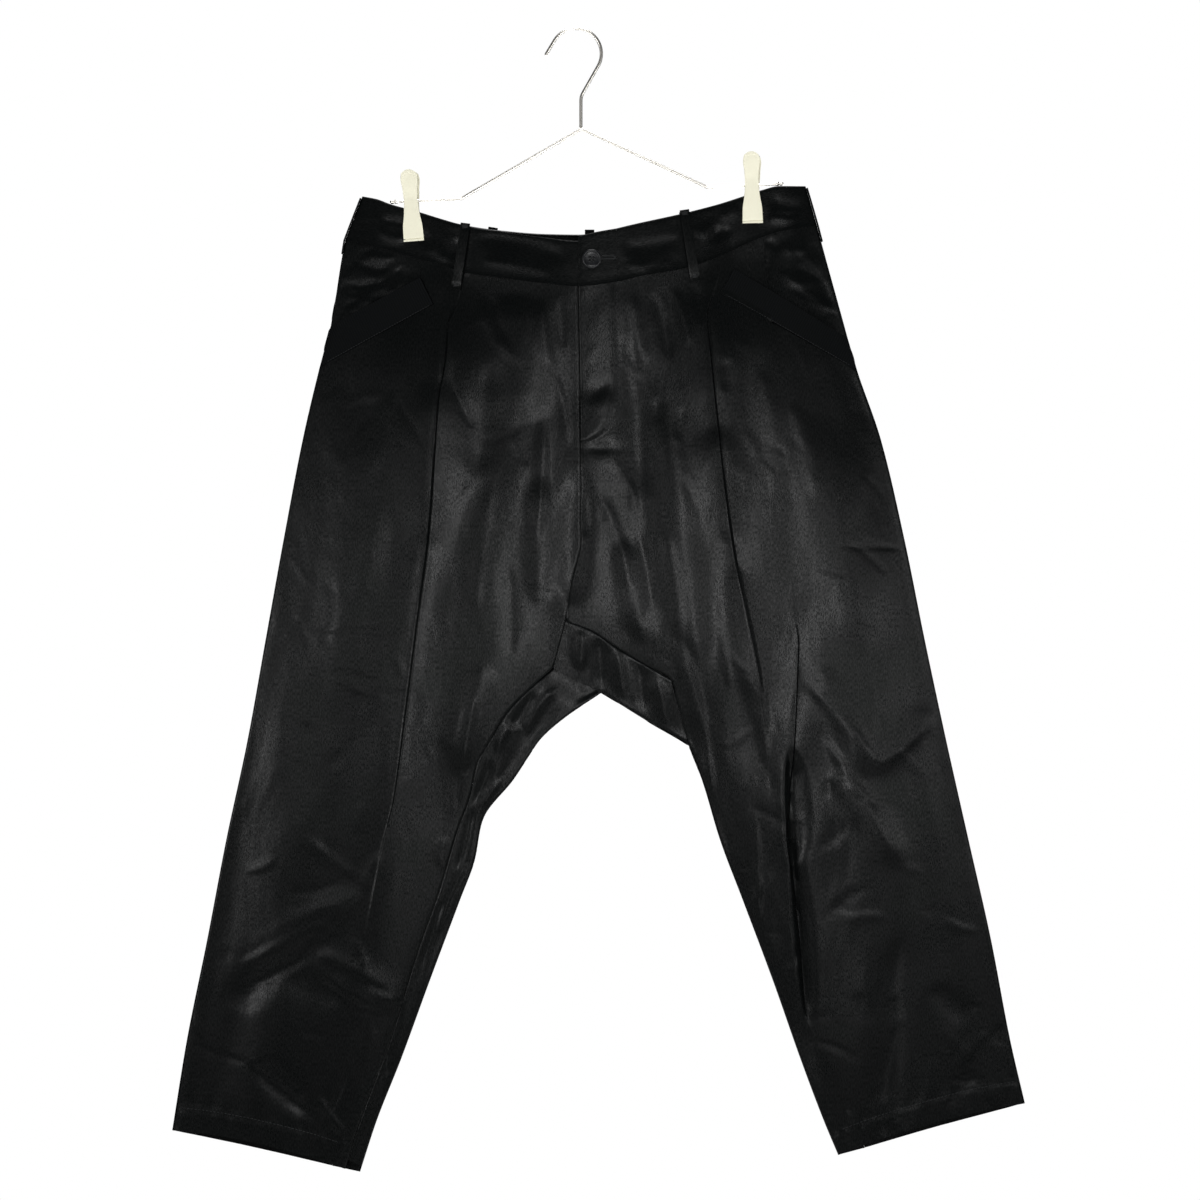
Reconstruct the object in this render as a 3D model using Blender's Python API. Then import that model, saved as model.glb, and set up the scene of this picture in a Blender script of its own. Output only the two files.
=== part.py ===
"""Dropped-crotch satin trousers, hung by the waistband from a steel clip hanger.

The garment hangs flat: a front layer on the -Y side and a back layer on the +Y side, which meet
along the side seams and the inner-leg folds. Every cloth piece is a closed wall. Its outline is
drawn in the XZ plane between named seam lines, and its depth comes from one form that all pieces
share: a rounded edge along the folds, a plateau between them, and the folds of the cloth on top.
The wearer's right is at -X. The origin is inside the top of the hook, where the hanger hangs.
Tables are in millimetres, and MM turns them to metres.
"""

import math

import bmesh
import bpy
import numpy as np

MM = 0.001

# Driving dimensions
CLOTH = 1.2             # wall of the panels
BAND_CLOTH = 1.8        # wall of the waistband, which is double
LOOP_CLOTH = 1.6        # wall of a belt loop
HEM_CLOTH = 1.0         # what the turned-up hem adds to the wall
HEM_HEIGHT = 22.0
HEM_RISE = 6.0          # how far the front hems arch up between their corners
SEAM_GAP = 0.3          # between neighbouring pieces
CURVED_GAP = 0.9        # along a curved seam, whose two sides have different corners
EDGE_RADIUS = 4.0       # of the folded edges, which is half the thickness of the flat garment there
EDGE_WIDTH = 40.0       # from a folded edge to the plateau
LIFT_FADE = 7.0         # what lies on a panel comes down to it within this distance of an edge
FOLD_FADE = 12.0        # folds of the cloth die out within this distance of an edge
SEAM_FADE = 24.0        # and of the waist seam
WAIST_BLEND = 120.0     # height over which the waist's section turns into the body's
BAND_LIFT = 0.4         # the waistband stands proud of the panels
TAPE_LIFT = 2.5         # the pocket tape's upper edge stands off the yoke
TAPE_END_GAP = 1.2      # between the tape's inner end and the front panel beside the pleat
TUCK_DEPTH = 4.5        # the right leg's gusset is sunk under the crotch stretch
TUCK_RUN = 26.0         # and comes back up within this width
TUCK_LIFT = 1.0         # while the crotch stretch stands proud of it
LAP_LIFT = 2.1          # the lapped fly end clears the band under it
FLY_LIFT = 1.2          # the lapped front's edge stands proud along the fly
LAP_RUN = 55.0          # the lapped side comes back to the common form within this width
FLY_END = -367.0        # height of the fly's lower end
ROW_STEP = 30.0         # longest cell down a panel
PLEAT_RUN = 30.0        # the raised side of a pleat settles within this width
PLEAT_SHADE = 14.0      # the hollow beside a pleat fills within this width
PLEAT_RISER = 2.4       # width of a pleat's folded edge
DIP_FADE = 110.0        # the rows of a panel straighten within this height below the waist seam
MITRE_LIMIT = 1.5       # a wall is thickened at its bends up to this share

# Outlines, top to bottom, as (x, z)
SIDE_RIGHT = [(-190, -148), (-205, -187), (-218, -263), (-228, -300), (-243, -364), (-260, -453),
              (-276, -542), (-292, -631), (-311, -720), (-328, -809), (-346, -898), (-359, -978)]
SIDE_LEFT = [(204, -139), (214, -174), (241.5, -274), (250, -303), (271, -364), (292, -453),
             (310, -542), (329, -631), (349, -720), (369, -809), (386, -898), (399, -954)]
INNER_FOLD_RIGHT = [(23, -589), (-12, -613), (-32, -631), (-44, -649), (-56, -667), (-83, -702),
                    (-90, -738), (-103, -773), (-130, -845), (-156, -916), (-177, -969),
                    (-192, -1015)]
INNER_FOLD_LEFT = [(23, -589), (61, -613), (100, -636), (112, -667), (128, -720), (148, -773),
                   (175, -845), (200, -916), (220, -969), (233, -1000)]
CENTRE_FRONT = [(2, -229), (4, -367), (4, -453), (-4, -492), (-9, -525)]
GUSSET_SEAM_RIGHT = [(-15, -549), (-19, -564), (-34, -579), (-60, -605), (-76, -631), (-88, -653),
                     (-94, -680), (-106, -713), (-121, -765), (-141, -821), (-165, -898),
                     (-193, -973), (-205, -1012)]
GUSSET_SEAM_CROTCH = [(-9, -525), (12, -533), (36, -549), (61, -564), (84, -577)]
CROTCH_DRAPE = [(89.2, -596), (94.3, -615)]
CROTCH_TUCK = [(-20, -567), (1, -578), (22, -589)]
CENTRE_BACK = [(12, -228), (14, -562)]
BACK_SEAM_RIGHT = [(-18, -590), (-42, -610), (-62, -631), (-77, -653), (-100, -680), (-115, -713),
                   (-128, -765), (-147, -821), (-175, -898), (-203, -973), (-217, -1010)]
BACK_SEAM_LEFT = [(40, -575), (70, -590), (96, -610), (124, -640), (137, -667), (153, -720),
                  (173, -773), (200, -845), (225, -916), (245, -969), (257, -994)]
WAIST_SEAM = [(-205, -187), (-178, -193), (-151, -200), (-139, -204), (-128, -206), (-100, -216),
              (-68, -221), (-30, -226), (2, -229), (36, -225), (57, -220), (99, -212), (124, -203),
              (140, -195.5), (160, -186.5), (179, -180), (198, -176), (214, -174)]
TAPE_RIGHT_UPPER = [(-138, -220), (-218, -263)]
TAPE_RIGHT_LOWER = [(-126, -244), (-228, -300)]
TAPE_LEFT_UPPER = [(140, -212), (241.5, -274)]
TAPE_LEFT_LOWER = [(128, -234), (250, -303)]

FOLDED_EDGES = (SIDE_RIGHT, SIDE_LEFT, INNER_FOLD_RIGHT, INNER_FOLD_LEFT)

# Half depth beyond the edge radius. Columns: height, front layer, back layer
BODY_DEPTH = [(-180, 8, 8), (-300, 9, 10), (-450, 8, 11), (-600, 7, 9), (-800, 6, 7), (-1010, 6, 6)]
# Columns: place across the waist, front layer, back layer. It is shut under the two clips.
WAIST_DEPTH = [(-205, 2, 2), (-184, 1, 1), (-168, -1.4, -1.4), (-121, -1.4, -1.4), (-92, 5, 4),
               (-45, 12, 11), (10, 15, 13), (60, 12, 11), (110, 5, 4), (140, -1.4, -1.4),
               (174, -1.4, -1.4), (190, 1, 1), (214, 2, 2)]

# Reverse pleats: the centre side lies on top. Columns: x, height, how far the fold stands up
PLEAT_RIGHT = [(-100, -216, 0.3), (-104, -240, 1.0), (-113, -262, 3.0), (-115, -292, 4.5),
               (-121, -329, 4.5), (-129, -442, 4.0), (-141, -534, 3.2), (-151, -612, 2.6),
               (-161, -684, 1.8), (-172, -728, 0.9), (-196, -850, 0), (-230, -990, 0)]
PLEAT_LEFT = [(131, -200, 0.3), (122, -233, 1.0), (116, -254, 3.0), (119, -288, 4.5),
              (123, -327, 4.5), (133, -418, 4.0), (140, -466, 3.4), (152, -523, 2.6),
              (164, -587, 1.4), (172, -640, 0), (190, -760, 0), (262, -975, 0)]
# Line of the deep crease down the left leg, followed by a column of cells. Columns: x, height
CREASE_LEFT = [(136, -195), (134, -212), (125, -234), (137, -252), (158, -275), (175, -303),
               (183, -340), (190, -420), (196, -539), (193, -628), (191, -720), (200, -801),
               (208, -861), (222, -920), (238, -990)]

# Largest folds. Columns: from x, height, to x, height, rise, half width
FRONT_FOLDS = [
    (196, -530, 192, -675, -3.2, 9),      # deep crease down the left leg
    (192, -655, 191, -735, -5.0, 15),     # and the hollow that it opens into
    (191, -715, 205, -870, -3.4, 10),
    (212, -560, 262, -668, 2.4, 15),      # V of ridges beside it
    (262, -662, 322, -600, 2.0, 14),
    (226, -655, 292, -745, 2.8, 16),
    (290, -800, 272, -960, -2.8, 11),     # crease above the left hem
    (312, -850, 352, -880, -2.0, 12),
    (-190, -762, -300, -834, 2.4, 13),    # slanted folds above the right hem
    (-215, -800, -312, -870, -2.8, 15),
    (-238, -818, -150, -868, 2.4, 13),
    (-284, -916, -236, -962, -2.8, 13),
    (-30, -395, -34, -515, 2.4, 13),      # soft upright folds that hang from the waist
    (-70, -290, -90, -400, -1.8, 16),
    (-82, -560, -100, -660, 2.2, 14),
    (3, -385, -4, -520, -2.6, 13),
    (45, -270, 60, -420, -2.0, 15),
    (78, -330, 112, -575, 3.0, 17),
    (40, -450, 62, -548, 2.0, 12),
    (-190, -330, -215, -620, 2.0, 26),
    (215, -340, 262, -560, 2.2, 26),
    (-34, -589, -190, -1000, -1.2, 9),    # sunk along the right gusset seam
]
BACK_FOLDS = [
    (10, -560, -110, -400, 2.6, 18),      # drag folds that fan up from the crotch
    (16, -560, 130, -395, 2.6, 18),
    (0, -575, -150, -520, -2.0, 16),
    (30, -575, 190, -510, -2.0, 16),
    (12, -260, 13, -540, -1.6, 12),
    (-90, -250, -120, -430, 2.0, 22),
    (110, -245, 140, -430, 2.0, 22),
    (-120, -610, -290, -700, 2.2, 18),
    (170, -600, 330, -690, 2.2, 18),
    (-180, -760, -310, -800, -2.4, 16),
    (200, -770, 352, -790, -2.4, 16),
    (-190, -850, -300, -930, 2.2, 16),
    (230, -850, 360, -900, 2.2, 16),
]

# Waistband stations: top edge x and height, lower edge x and height
BAND_RIGHT = [(-190, -148, -205, -187), (-177, -150.5, -191, -190), (-165, -155, -178, -193),
              (-141, -161.5, -151, -200), (-120, -168, -128, -206), (-92, -176, -100, -216),
              (-62, -181, -68, -221),
              (-27, -186, -30, -226), (2, -189, 2, -229), (33, -187, 33, -222)]
BAND_LEFT = [(36, -178, 36, -225), (52, -174, 57, -220), (95, -164, 99, -212),
             (119, -157.5, 124, -203), (147, -148.5, 149, -190), (167, -142, 179, -177),
             (180, -139, 193, -176), (192, -139, 204, -174.5), (204, -139, 214, -174)]
BAND_FLY_END = [(2, -185, 2, -229), (19, -181, 19, -227), (36, -178, 36, -225)]
BAND_BACK = [(-190, -148, -205, -187), (-177, -150.5, -191, -190), (-165, -155, -178, -193),
             (-141, -161.5, -151, -200), (-120, -168, -128, -206), (-96, -173.5, -100, -216),
             (-64, -177.5, -68, -221), (-28, -180, -30, -226), (2, -180.5, 2, -229),
             (32, -177, 36, -225), (54, -172.5, 57, -220), (95, -163, 99, -212),
             (119, -157, 124, -203), (147, -148.5, 149, -190), (167, -142, 179, -177),
             (180, -139, 193, -176), (192, -139, 204, -174.5), (204, -139, 214, -174)]

# Belt loops. Columns: node, layer, top x and height, lower end x and height
BELT_LOOPS = [
    ("belt_loop_front_right", "front", -98, -172.5, -107, -231),
    ("belt_loop_front_left", "front", 96, -161, 106, -224),
    ("belt_loop_back_right", "back", -74, -174.5, -82, -231),
    ("belt_loop_back_centre", "back", 12, -176, 12, -238),
    ("belt_loop_back_left", "back", 96, -160.5, 106, -222),
]
# Side loops stand on the side seams. Columns: node, seam, way out, top, lower end
SIDE_LOOPS = [
    ("belt_loop_side_right", SIDE_RIGHT, -1, -146.5, -199),
    ("belt_loop_side_left", SIDE_LEFT, 1, -137.5, -188),
]
LOOP_WIDTH = 8.5
LOOP_BOW = 1.2

BUTTON_AT = (14, -205)
BUTTON_RADIUS = 8.6
BUTTON_THICKNESS = 3.0
BUTTON_HOLE_RADIUS = 1.0
BUTTON_HOLE_SPREAD = 1.7
BUTTON_TURN = 0.43      # of a quarter turn, from the level to the first hole

WIRE_RADIUS = 1.45
HOOK_RADIUS = 22.5
HOOK_FROM = 149.0       # degrees round the hook, from its tip side to the shank side
HOOK_TO = -29.5
HOOK_TIP = 14.5         # straight end of the hook
HOOK_SHANK = 31.0       # straight run from the hook to its neck
NECK_BEND = 14.0
NECK_LOW = -86.6
FRAME_ROUTE = [(-165, -152.8), (-102, -150), (5, -88), (117, -140), (184, -136.3)]
FRAME_BENDS = [0, 9, 4, 9, 0]
CRIMP = 1.4             # the flattened ends of the bars, as a share of the wire's radius

# Clips. Columns: side, middle of the top x and height, middle of the lower end x and height
CLIPS = [("right", -149, -124.5, -144, -188), ("left", 155.5, -108.5, 157, -172)]
CLIP_PLATE = 1.0
# Columns: share of the height from the top, half width, distance of the plate's outer face from
# the middle plane, how far its long edges are turned in
CLIP_PROFILE = [(0.0, 4.6, 8.0, 1.0), (0.035, 7.0, 7.8, 1.4), (0.1, 7.6, 7.4, 1.8),
                (0.27, 6.3, 5.8, 2.0), (0.42, 5.9, 4.5, 1.1), (0.60, 6.7, 4.35, 1.05),
                (0.80, 8.5, 4.3, 1.02), (1.0, 9.1, 4.3, 1.0)]
SPRING_RADIUS = 2.4
SPRING_WIRE = 0.5
SPRING_TURNS = 3
SPRING_PITCH = 1.4

SATIN = ("satin_weave_black", (0.020, 0.021, 0.023), 0.38, 0.0)
TAPE = ("ribbed_tape_black", (0.028, 0.034, 0.038), 0.85, 0.0)
BUTTON = ("button_black", (0.015, 0.015, 0.016), 0.22, 0.0)
STEEL = ("wire_nickel_plated", (0.55, 0.54, 0.51), 0.25, 1.0)
PLATE = ("clip_plate_satin_nickel", (0.78, 0.75, 0.68), 0.35, 1.0)


def clear_scene():
    for item in list(bpy.data.objects):
        bpy.data.objects.remove(item, do_unlink=True)


def material(recipe):
    name, colour, roughness, metallic = recipe
    made = bpy.data.materials.get(name)
    if made is None:
        made = bpy.data.materials.new(name)
        made.use_nodes = True
        shader = made.node_tree.nodes["Principled BSDF"]
        shader.inputs["Base Color"].default_value = (*colour, 1.0)
        shader.inputs["Roughness"].default_value = roughness
        shader.inputs["Metallic"].default_value = metallic
    return made


def smooth(t):
    """Soft step from 0 to 1."""
    t = np.clip(t, 0.0, 1.0)
    return t * t * (3.0 - 2.0 * t)


def x_on(line, z):
    """Place across of a seam line at a height."""
    return np.interp(-np.asarray(z, float), [-row[1] for row in line], [row[0] for row in line])


def z_on(line, x):
    """Height of a line that runs across, at a place."""
    return np.interp(x, [row[0] for row in line], [row[1] for row in line])


def curve_on(table, key, column):
    """Value from a table by a smooth curve through its rows that never overshoots them."""
    rows = sorted(table)
    keys = np.array([row[0] for row in rows], float)
    values = np.array([row[column] for row in rows], float)
    runs = np.diff(keys)
    slopes = np.diff(values) / runs
    rising = slopes[:-1] * slopes[1:] > 0.0
    product = np.where(rising, slopes[:-1] * slopes[1:], 0.0)
    total = np.where(rising, slopes[:-1] + slopes[1:], 1.0)
    tangents = np.concatenate([slopes[:1], 2.0 * product / total, slopes[-1:]])
    key = np.clip(key, keys[0], keys[-1])
    step = np.clip(np.searchsorted(keys, key) - 1, 0, len(keys) - 2)
    run, share = runs[step], (key - keys[step]) / runs[step]
    bend = share * (1.0 - share) * run
    return (values[step] + (values[step + 1] - values[step]) * smooth(share)
            + bend * ((1.0 - share) * tangents[step] - share * tangents[step + 1]))


def waist_seam(x):
    """Height of the waist seam at a place across."""
    return curve_on(WAIST_SEAM, x, 1)


def distance_to(line, x, z):
    """Shortest distance from points to a line of straight runs."""
    nearest = np.full(np.shape(x), np.inf)
    for (x0, z0), (x1, z1) in zip(line, line[1:]):
        run_x, run_z = x1 - x0, z1 - z0
        share = ((x - x0) * run_x + (z - z0) * run_z) / (run_x ** 2 + run_z ** 2)
        share = np.clip(share, 0.0, 1.0)
        nearest = np.minimum(nearest, np.hypot(x - x0 - share * run_x, z - z0 - share * run_z))
    return nearest


def edge_distance(x, z):
    """Distance from the nearest folded edge of the garment."""
    return np.minimum.reduce([distance_to(line, x, z) for line in FOLDED_EDGES])


def pleat(line, inward, x, z):
    """Relief of a pleat: raised on the centre side of its line, hollow on the other."""
    rise = np.interp(-z, [-row[1] for row in line], [row[2] for row in line])
    across = inward * (x - x_on(line, z))
    riser = smooth(across / PLEAT_RISER + 0.75)
    raised = rise * np.exp(-np.maximum(across, 0.0) / PLEAT_RUN)
    hollow = 0.5 * rise * np.exp(np.minimum(across, 0.0) / PLEAT_SHADE)
    return riser * raised - (1.0 - riser) * hollow


def folds(table, x, z):
    """Relief of soft ridges and troughs along straight lines, tapered at both ends."""
    relief = np.zeros(np.shape(x))
    for x0, z0, x1, z1, rise, width in table:
        run_x, run_z = x1 - x0, z1 - z0
        length = math.hypot(run_x, run_z)
        share = ((x - x0) * run_x + (z - z0) * run_z) / length ** 2
        across = ((x - x0) * run_z - (z - z0) * run_x) / length
        taper = smooth(share * 4.0) * smooth((1.0 - share) * 4.0)
        relief += rise * taper * np.exp(-(across / width) ** 2)
    return relief


def half_depth(layer, x, z):
    """Distance of a layer's outer face from the garment's middle plane."""
    x = np.asarray(x, float)
    z = np.asarray(z, float)
    column = 1 if layer == "front" else 2
    edge = edge_distance(x, z)
    inside = np.minimum(edge, EDGE_RADIUS)
    rounded = np.sqrt(inside * (2.0 * EDGE_RADIUS - inside))
    below_seam = waist_seam(x) - z
    body = curve_on(BODY_DEPTH, z, column)
    waist = curve_on(WAIST_DEPTH, x, column)
    plateau = waist + (body - waist) * smooth(below_seam / WAIST_BLEND)
    if layer == "front":
        relief = folds(FRONT_FOLDS, x, z)
        relief += pleat(PLEAT_RIGHT, 1, x, z) + pleat(PLEAT_LEFT, -1, x, z)
    else:
        relief = folds(BACK_FOLDS, x, z)
    relief *= smooth(edge / FOLD_FADE) * smooth(below_seam / SEAM_FADE)
    return rounded + smooth(edge / EDGE_WIDTH) * plateau + relief


def lay(layer, x, z, lift=0.0):
    """Points of a layer over places (x, z), moved out by lift and clear of the middle plane."""
    lift = lift * smooth(edge_distance(x, z) / LIFT_FADE)
    depth = np.maximum(half_depth(layer, x, z) + lift, SEAM_GAP / 2)
    side = -1 if layer == "front" else 1
    return np.stack([x, side * depth, z], axis=-1)


def directions(points, axis):
    """Unit tangents of a grid along one axis, each the mean of its two neighbouring runs."""
    runs = np.diff(points, axis=axis)
    runs /= np.linalg.norm(runs, axis=-1, keepdims=True)
    first = np.take(runs, [0], axis=axis)
    last = np.take(runs, [-1], axis=axis)
    return np.concatenate([first, runs], axis=axis) + np.concatenate([runs, last], axis=axis)


def add_object(name, vertices, faces, recipe, rounded=True):
    """One named object from a closed mesh in millimetres, with its faces turned outwards."""
    mesh = bpy.data.meshes.new(name)
    mesh.from_pydata([tuple(v * MM for v in point) for point in vertices], [], faces)
    shape = bmesh.new()
    shape.from_mesh(mesh)
    bmesh.ops.recalc_face_normals(shape, faces=shape.faces)
    shape.to_mesh(mesh)
    shape.free()
    if rounded:
        mesh.shade_smooth()
        mesh.set_sharp_from_angle(angle=math.radians(40))
    mesh.materials.append(material(recipe))
    made = bpy.data.objects.new(name, mesh)
    bpy.context.scene.collection.objects.link(made)
    return made


def wall(name, outer, thickness, recipe, outward):
    """Closed wall: a grid of outer points, the same grid moved inwards, and the rim between.

    outward is +1 where the grid's own normal points out, -1 where it points in. Where the wall
    meets the middle plane it is cut square to it, and no point of it crosses that plane.
    """
    rows, columns = outer.shape[:2]
    down, across = directions(outer, 0), directions(outer, 1)
    mitre = 4.0 / (np.linalg.norm(down, axis=-1) * np.linalg.norm(across, axis=-1))
    normal = outward * np.cross(down, across)
    normal[np.abs(outer[..., 1]) < SEAM_GAP, 1] = 0.0
    normal /= np.linalg.norm(normal, axis=-1, keepdims=True)
    reach = np.broadcast_to(thickness, (rows, columns)) * np.minimum(mitre, MITRE_LIMIT)
    inner = outer - normal * reach[..., None]
    side = np.where(outer[..., 1] < 0.0, -1.0, 1.0)
    inner[..., 1] = side * np.maximum(side * inner[..., 1], SEAM_GAP / 2)
    count = rows * columns
    index = np.arange(count).reshape(rows, columns)
    cells = np.stack([index[:-1, :-1], index[:-1, 1:], index[1:, 1:], index[1:, :-1]], axis=-1)
    cells = cells.reshape(-1, 4)
    border = np.concatenate([index[0, :-1], index[:-1, -1], index[-1, :0:-1], index[:0:-1, 0]])
    after = np.roll(border, -1)
    rim = np.stack([after, border, border + count, after + count], axis=-1)
    faces = np.concatenate([cells, (cells + count)[:, ::-1], rim]).tolist()
    vertices = np.concatenate([outer.reshape(-1, 3), inner.reshape(-1, 3)]).tolist()
    return add_object(name, vertices, faces, recipe)


def spread(start, end, near_start, parts, near_end):
    """Stations between two lines: close ones by each line and even ones between."""
    length = end - start
    reach_start, reach_end = max(near_start, default=0.0), max(near_end, default=0.0)
    shrink = min(1.0, 0.35 * length / max(reach_start, reach_end, 1e-6))
    even = np.linspace(start + shrink * reach_start, end - shrink * reach_end, parts + 1)[1:-1]
    first = [start + shrink * step for step in near_start]
    last = [end - shrink * step for step in reversed(near_end)]
    return [*first, *even, *last]


def denser(table, step):
    """Rows of a table with more rows between them, none further apart than step."""
    rows = []
    for row, following in zip(table, table[1:]):
        row, following = np.array(row, float), np.array(following, float)
        count = max(1, math.ceil(np.abs(following - row).max() / step))
        rows += [row + (following - row) * k / count for k in range(count)]
    return np.array([*rows, table[-1]], float)


def crossing(line, start, end):
    """Distance from start, along the straight row to end, at which the row meets a line."""
    share = 0.5
    for _ in range(6):
        height = start[1] + (end[1] - start[1]) * share
        share = (x_on(line, height) - start[0]) / (end[0] - start[0])
    return share * math.dist(start, end)


def panel_grid(left, right, heights, guides, spans, gaps=(0.0, 0.0), rise=0.0, waisted=True):
    """Places (x, z) of a panel between two seam lines.

    heights pairs each row's height on the left line with that on the right line. guides are
    lines that columns of cells follow, and spans say how the stations lie between them. The first
    row follows the waist seam where waisted is set, and the last rows arch up by rise, as an open
    hem does.
    """
    rows = denser(heights, ROW_STEP)
    top_left, top_right = float(x_on(left, rows[0][0])), float(x_on(right, rows[0][1]))
    grid = []
    for number, (z_left, z_right) in enumerate(rows):
        start = (float(x_on(left, z_left)), z_left)
        end = (float(x_on(right, z_right)), z_right)
        length = math.dist(start, end)
        lines = [gaps[0], *(crossing(guide, start, end) for guide in guides), length - gaps[1]]
        stations = []
        for k, (near_start, parts, near_end) in enumerate(spans):
            stations += spread(lines[k], lines[k + 1], near_start, parts, near_end)
        share = np.array(stations) / length
        x = start[0] + (end[0] - start[0]) * share
        z = start[1] + (end[1] - start[1]) * share
        hem = smooth((number / (len(rows) - 1) - 0.85) / 0.15)
        z = z + rise * hem * 4.0 * share * (1.0 - share)
        if waisted:
            dip = waist_seam(top_left + (top_right - top_left) * share)
            dip -= rows[0][0] + (rows[0][1] - rows[0][0]) * share
            z += dip * (1.0 - smooth((rows[0].mean() - rows[number].mean()) / DIP_FADE))
        grid.append(np.stack([x, z], axis=-1))
    return pull_in_ends(np.array(grid))


def pull_in_ends(grid):
    """Moves the first row a little way towards the second, clear of a curved seam."""
    run = grid[1] - grid[0]
    grid[0] += run / np.linalg.norm(run, axis=-1, keepdims=True) * CURVED_GAP
    return grid


def hem_thickness(grid):
    """Wall thickness over a panel that ends in a turned-up hem."""
    above = np.linalg.norm(grid - grid[-1], axis=-1)
    return CLOTH + HEM_CLOTH * smooth((HEM_HEIGHT + 4.0 - above) / 4.0)


def lap(x, z):
    """How far the lapped left front stands proud along the fly."""
    along = smooth((z - FLY_END) / 60.0)
    return FLY_LIFT * along * (1.0 - smooth((x - 2.0) / LAP_RUN))


FOLD_STEPS = (0.0, 1.2, 4.0)
SEAM_STEPS = (0.0, 4.0)
PLEAT_HOLLOW = (2.2, 9.0)
PLEAT_RAISED = (0.8, 9.0)
CREASE_STEPS = (0.0, 9.0)
# Shares of the way down a pocket tape at which a front panel has its rows
TAPE_SHARES = (0.25, 0.5, 0.75, 0.9, 0.97, 1.0)


def tape_rows(tape_lower, inner_from, inner_to):
    """Rows beside a pocket tape: height on the tape's lower edge, height on the inner seam."""
    top, bottom = tape_lower[0][1], tape_lower[1][1]
    return [(top + (bottom - top) * share, inner_from + (inner_to - inner_from) * share)
            for share in TAPE_SHARES]


def front_panel_right():
    outer = [(-139, -204), TAPE_RIGHT_UPPER[0], *TAPE_RIGHT_LOWER, *SIDE_RIGHT[4:]]
    inner = [*CENTRE_FRONT, *GUSSET_SEAM_RIGHT]
    heights = [(-204, -229), (-220, -240), (-244, -262), *tape_rows(TAPE_RIGHT_LOWER, -270, -345),
               (-364, -395), (-453, -453), (-485, -492), (-512, -525), (-530, -549),
               (-542, -564), (-560, -579), (-595, -605), (-631, -631), (-653, -653),
               (-685, -680), (-720, -713), (-760, -765), (-809, -821), (-870, -898),
               (-898, -930), (-942, -973), (-978, -1012)]
    spans = [(FOLD_STEPS, 4, PLEAT_HOLLOW), (PLEAT_RAISED, 5, SEAM_STEPS)]
    grid = panel_grid(outer, inner, heights, [PLEAT_RIGHT], spans, (0.0, SEAM_GAP), HEM_RISE)
    grid[grid[:, 0, 1] > TAPE_RIGHT_LOWER[1][1] + 0.5, 0, 0] += CURVED_GAP
    points = lay("front", grid[..., 0], grid[..., 1])
    wall("front_panel_right", points, hem_thickness(grid), SATIN, 1)


def front_panel_left():
    inner = [*CENTRE_FRONT, *GUSSET_SEAM_CROTCH[1:], *CROTCH_DRAPE, *INNER_FOLD_LEFT[2:]]
    outer = [(140, -195), TAPE_LEFT_UPPER[0], *TAPE_LEFT_LOWER, *SIDE_LEFT[4:]]
    rows = [(-195, -229), (-212, -240), (-234, -262), *tape_rows(TAPE_LEFT_LOWER, -270, -345),
            (-364, -367), (-410, -410), (-453, -453), (-480, -492), (-505, -525), (-515, -533),
            (-530, -549), (-542, -564), (-556, -577), (-574, -596), (-592, -615), (-612, -636),
            (-631, -652), (-645, -667), (-680, -693), (-720, -720), (-770, -773), (-809, -812),
            (-842, -845), (-898, -916), (-935, -969), (-954, -1000)]
    heights = [(inner_height, outer_height) for outer_height, inner_height in rows]
    spans = [(SEAM_STEPS, 4, PLEAT_RAISED), (PLEAT_HOLLOW[:1], 2, CREASE_STEPS[1:]),
             (CREASE_STEPS, 3, FOLD_STEPS)]
    grid = panel_grid(inner, outer, heights, [PLEAT_LEFT, CREASE_LEFT], spans,
                      (SEAM_GAP, 0.0), HEM_RISE)
    grid[grid[:, -1, 1] > TAPE_LEFT_LOWER[1][1] + 0.5, -1, 0] -= CURVED_GAP
    x, z = grid[..., 0], grid[..., 1]
    wall("front_panel_left", lay("front", x, z, lap(x, z)), hem_thickness(grid), SATIN, 1)


def back_panels():
    seam = [*CENTRE_BACK, *BACK_SEAM_RIGHT]
    heights = [(-187, -228), (-263, -290), (-300, -325), (-364, -385), (-453, -460), (-542, -562),
               (-572, -590), (-605, -610), (-631, -631), (-653, -653), (-685, -680),
               (-720, -713), (-760, -765), (-809, -821), (-870, -898), (-898, -925),
               (-940, -973), (-978, -1010)]
    grid = panel_grid(SIDE_RIGHT, seam, heights, [], [(FOLD_STEPS, 8, SEAM_STEPS)],
                      (0.0, SEAM_GAP))
    points = lay("back", grid[..., 0], grid[..., 1])
    wall("back_panel_right", points, hem_thickness(grid), SATIN, -1)

    seam = [*CENTRE_BACK, *BACK_SEAM_LEFT]
    heights = [(-228, -174), (-300, -274), (-325, -303), (-385, -364), (-460, -453), (-562, -542),
               (-575, -555), (-590, -570), (-610, -590), (-640, -631), (-667, -660), (-720, -720),
               (-773, -770), (-812, -809), (-845, -845), (-916, -898), (-969, -935),
               (-994, -954)]
    grid = panel_grid(seam, SIDE_LEFT, heights, [], [(SEAM_STEPS, 8, FOLD_STEPS)],
                      (SEAM_GAP, 0.0))
    points = lay("back", grid[..., 0], grid[..., 1])
    wall("back_panel_left", points, hem_thickness(grid), SATIN, -1)


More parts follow.
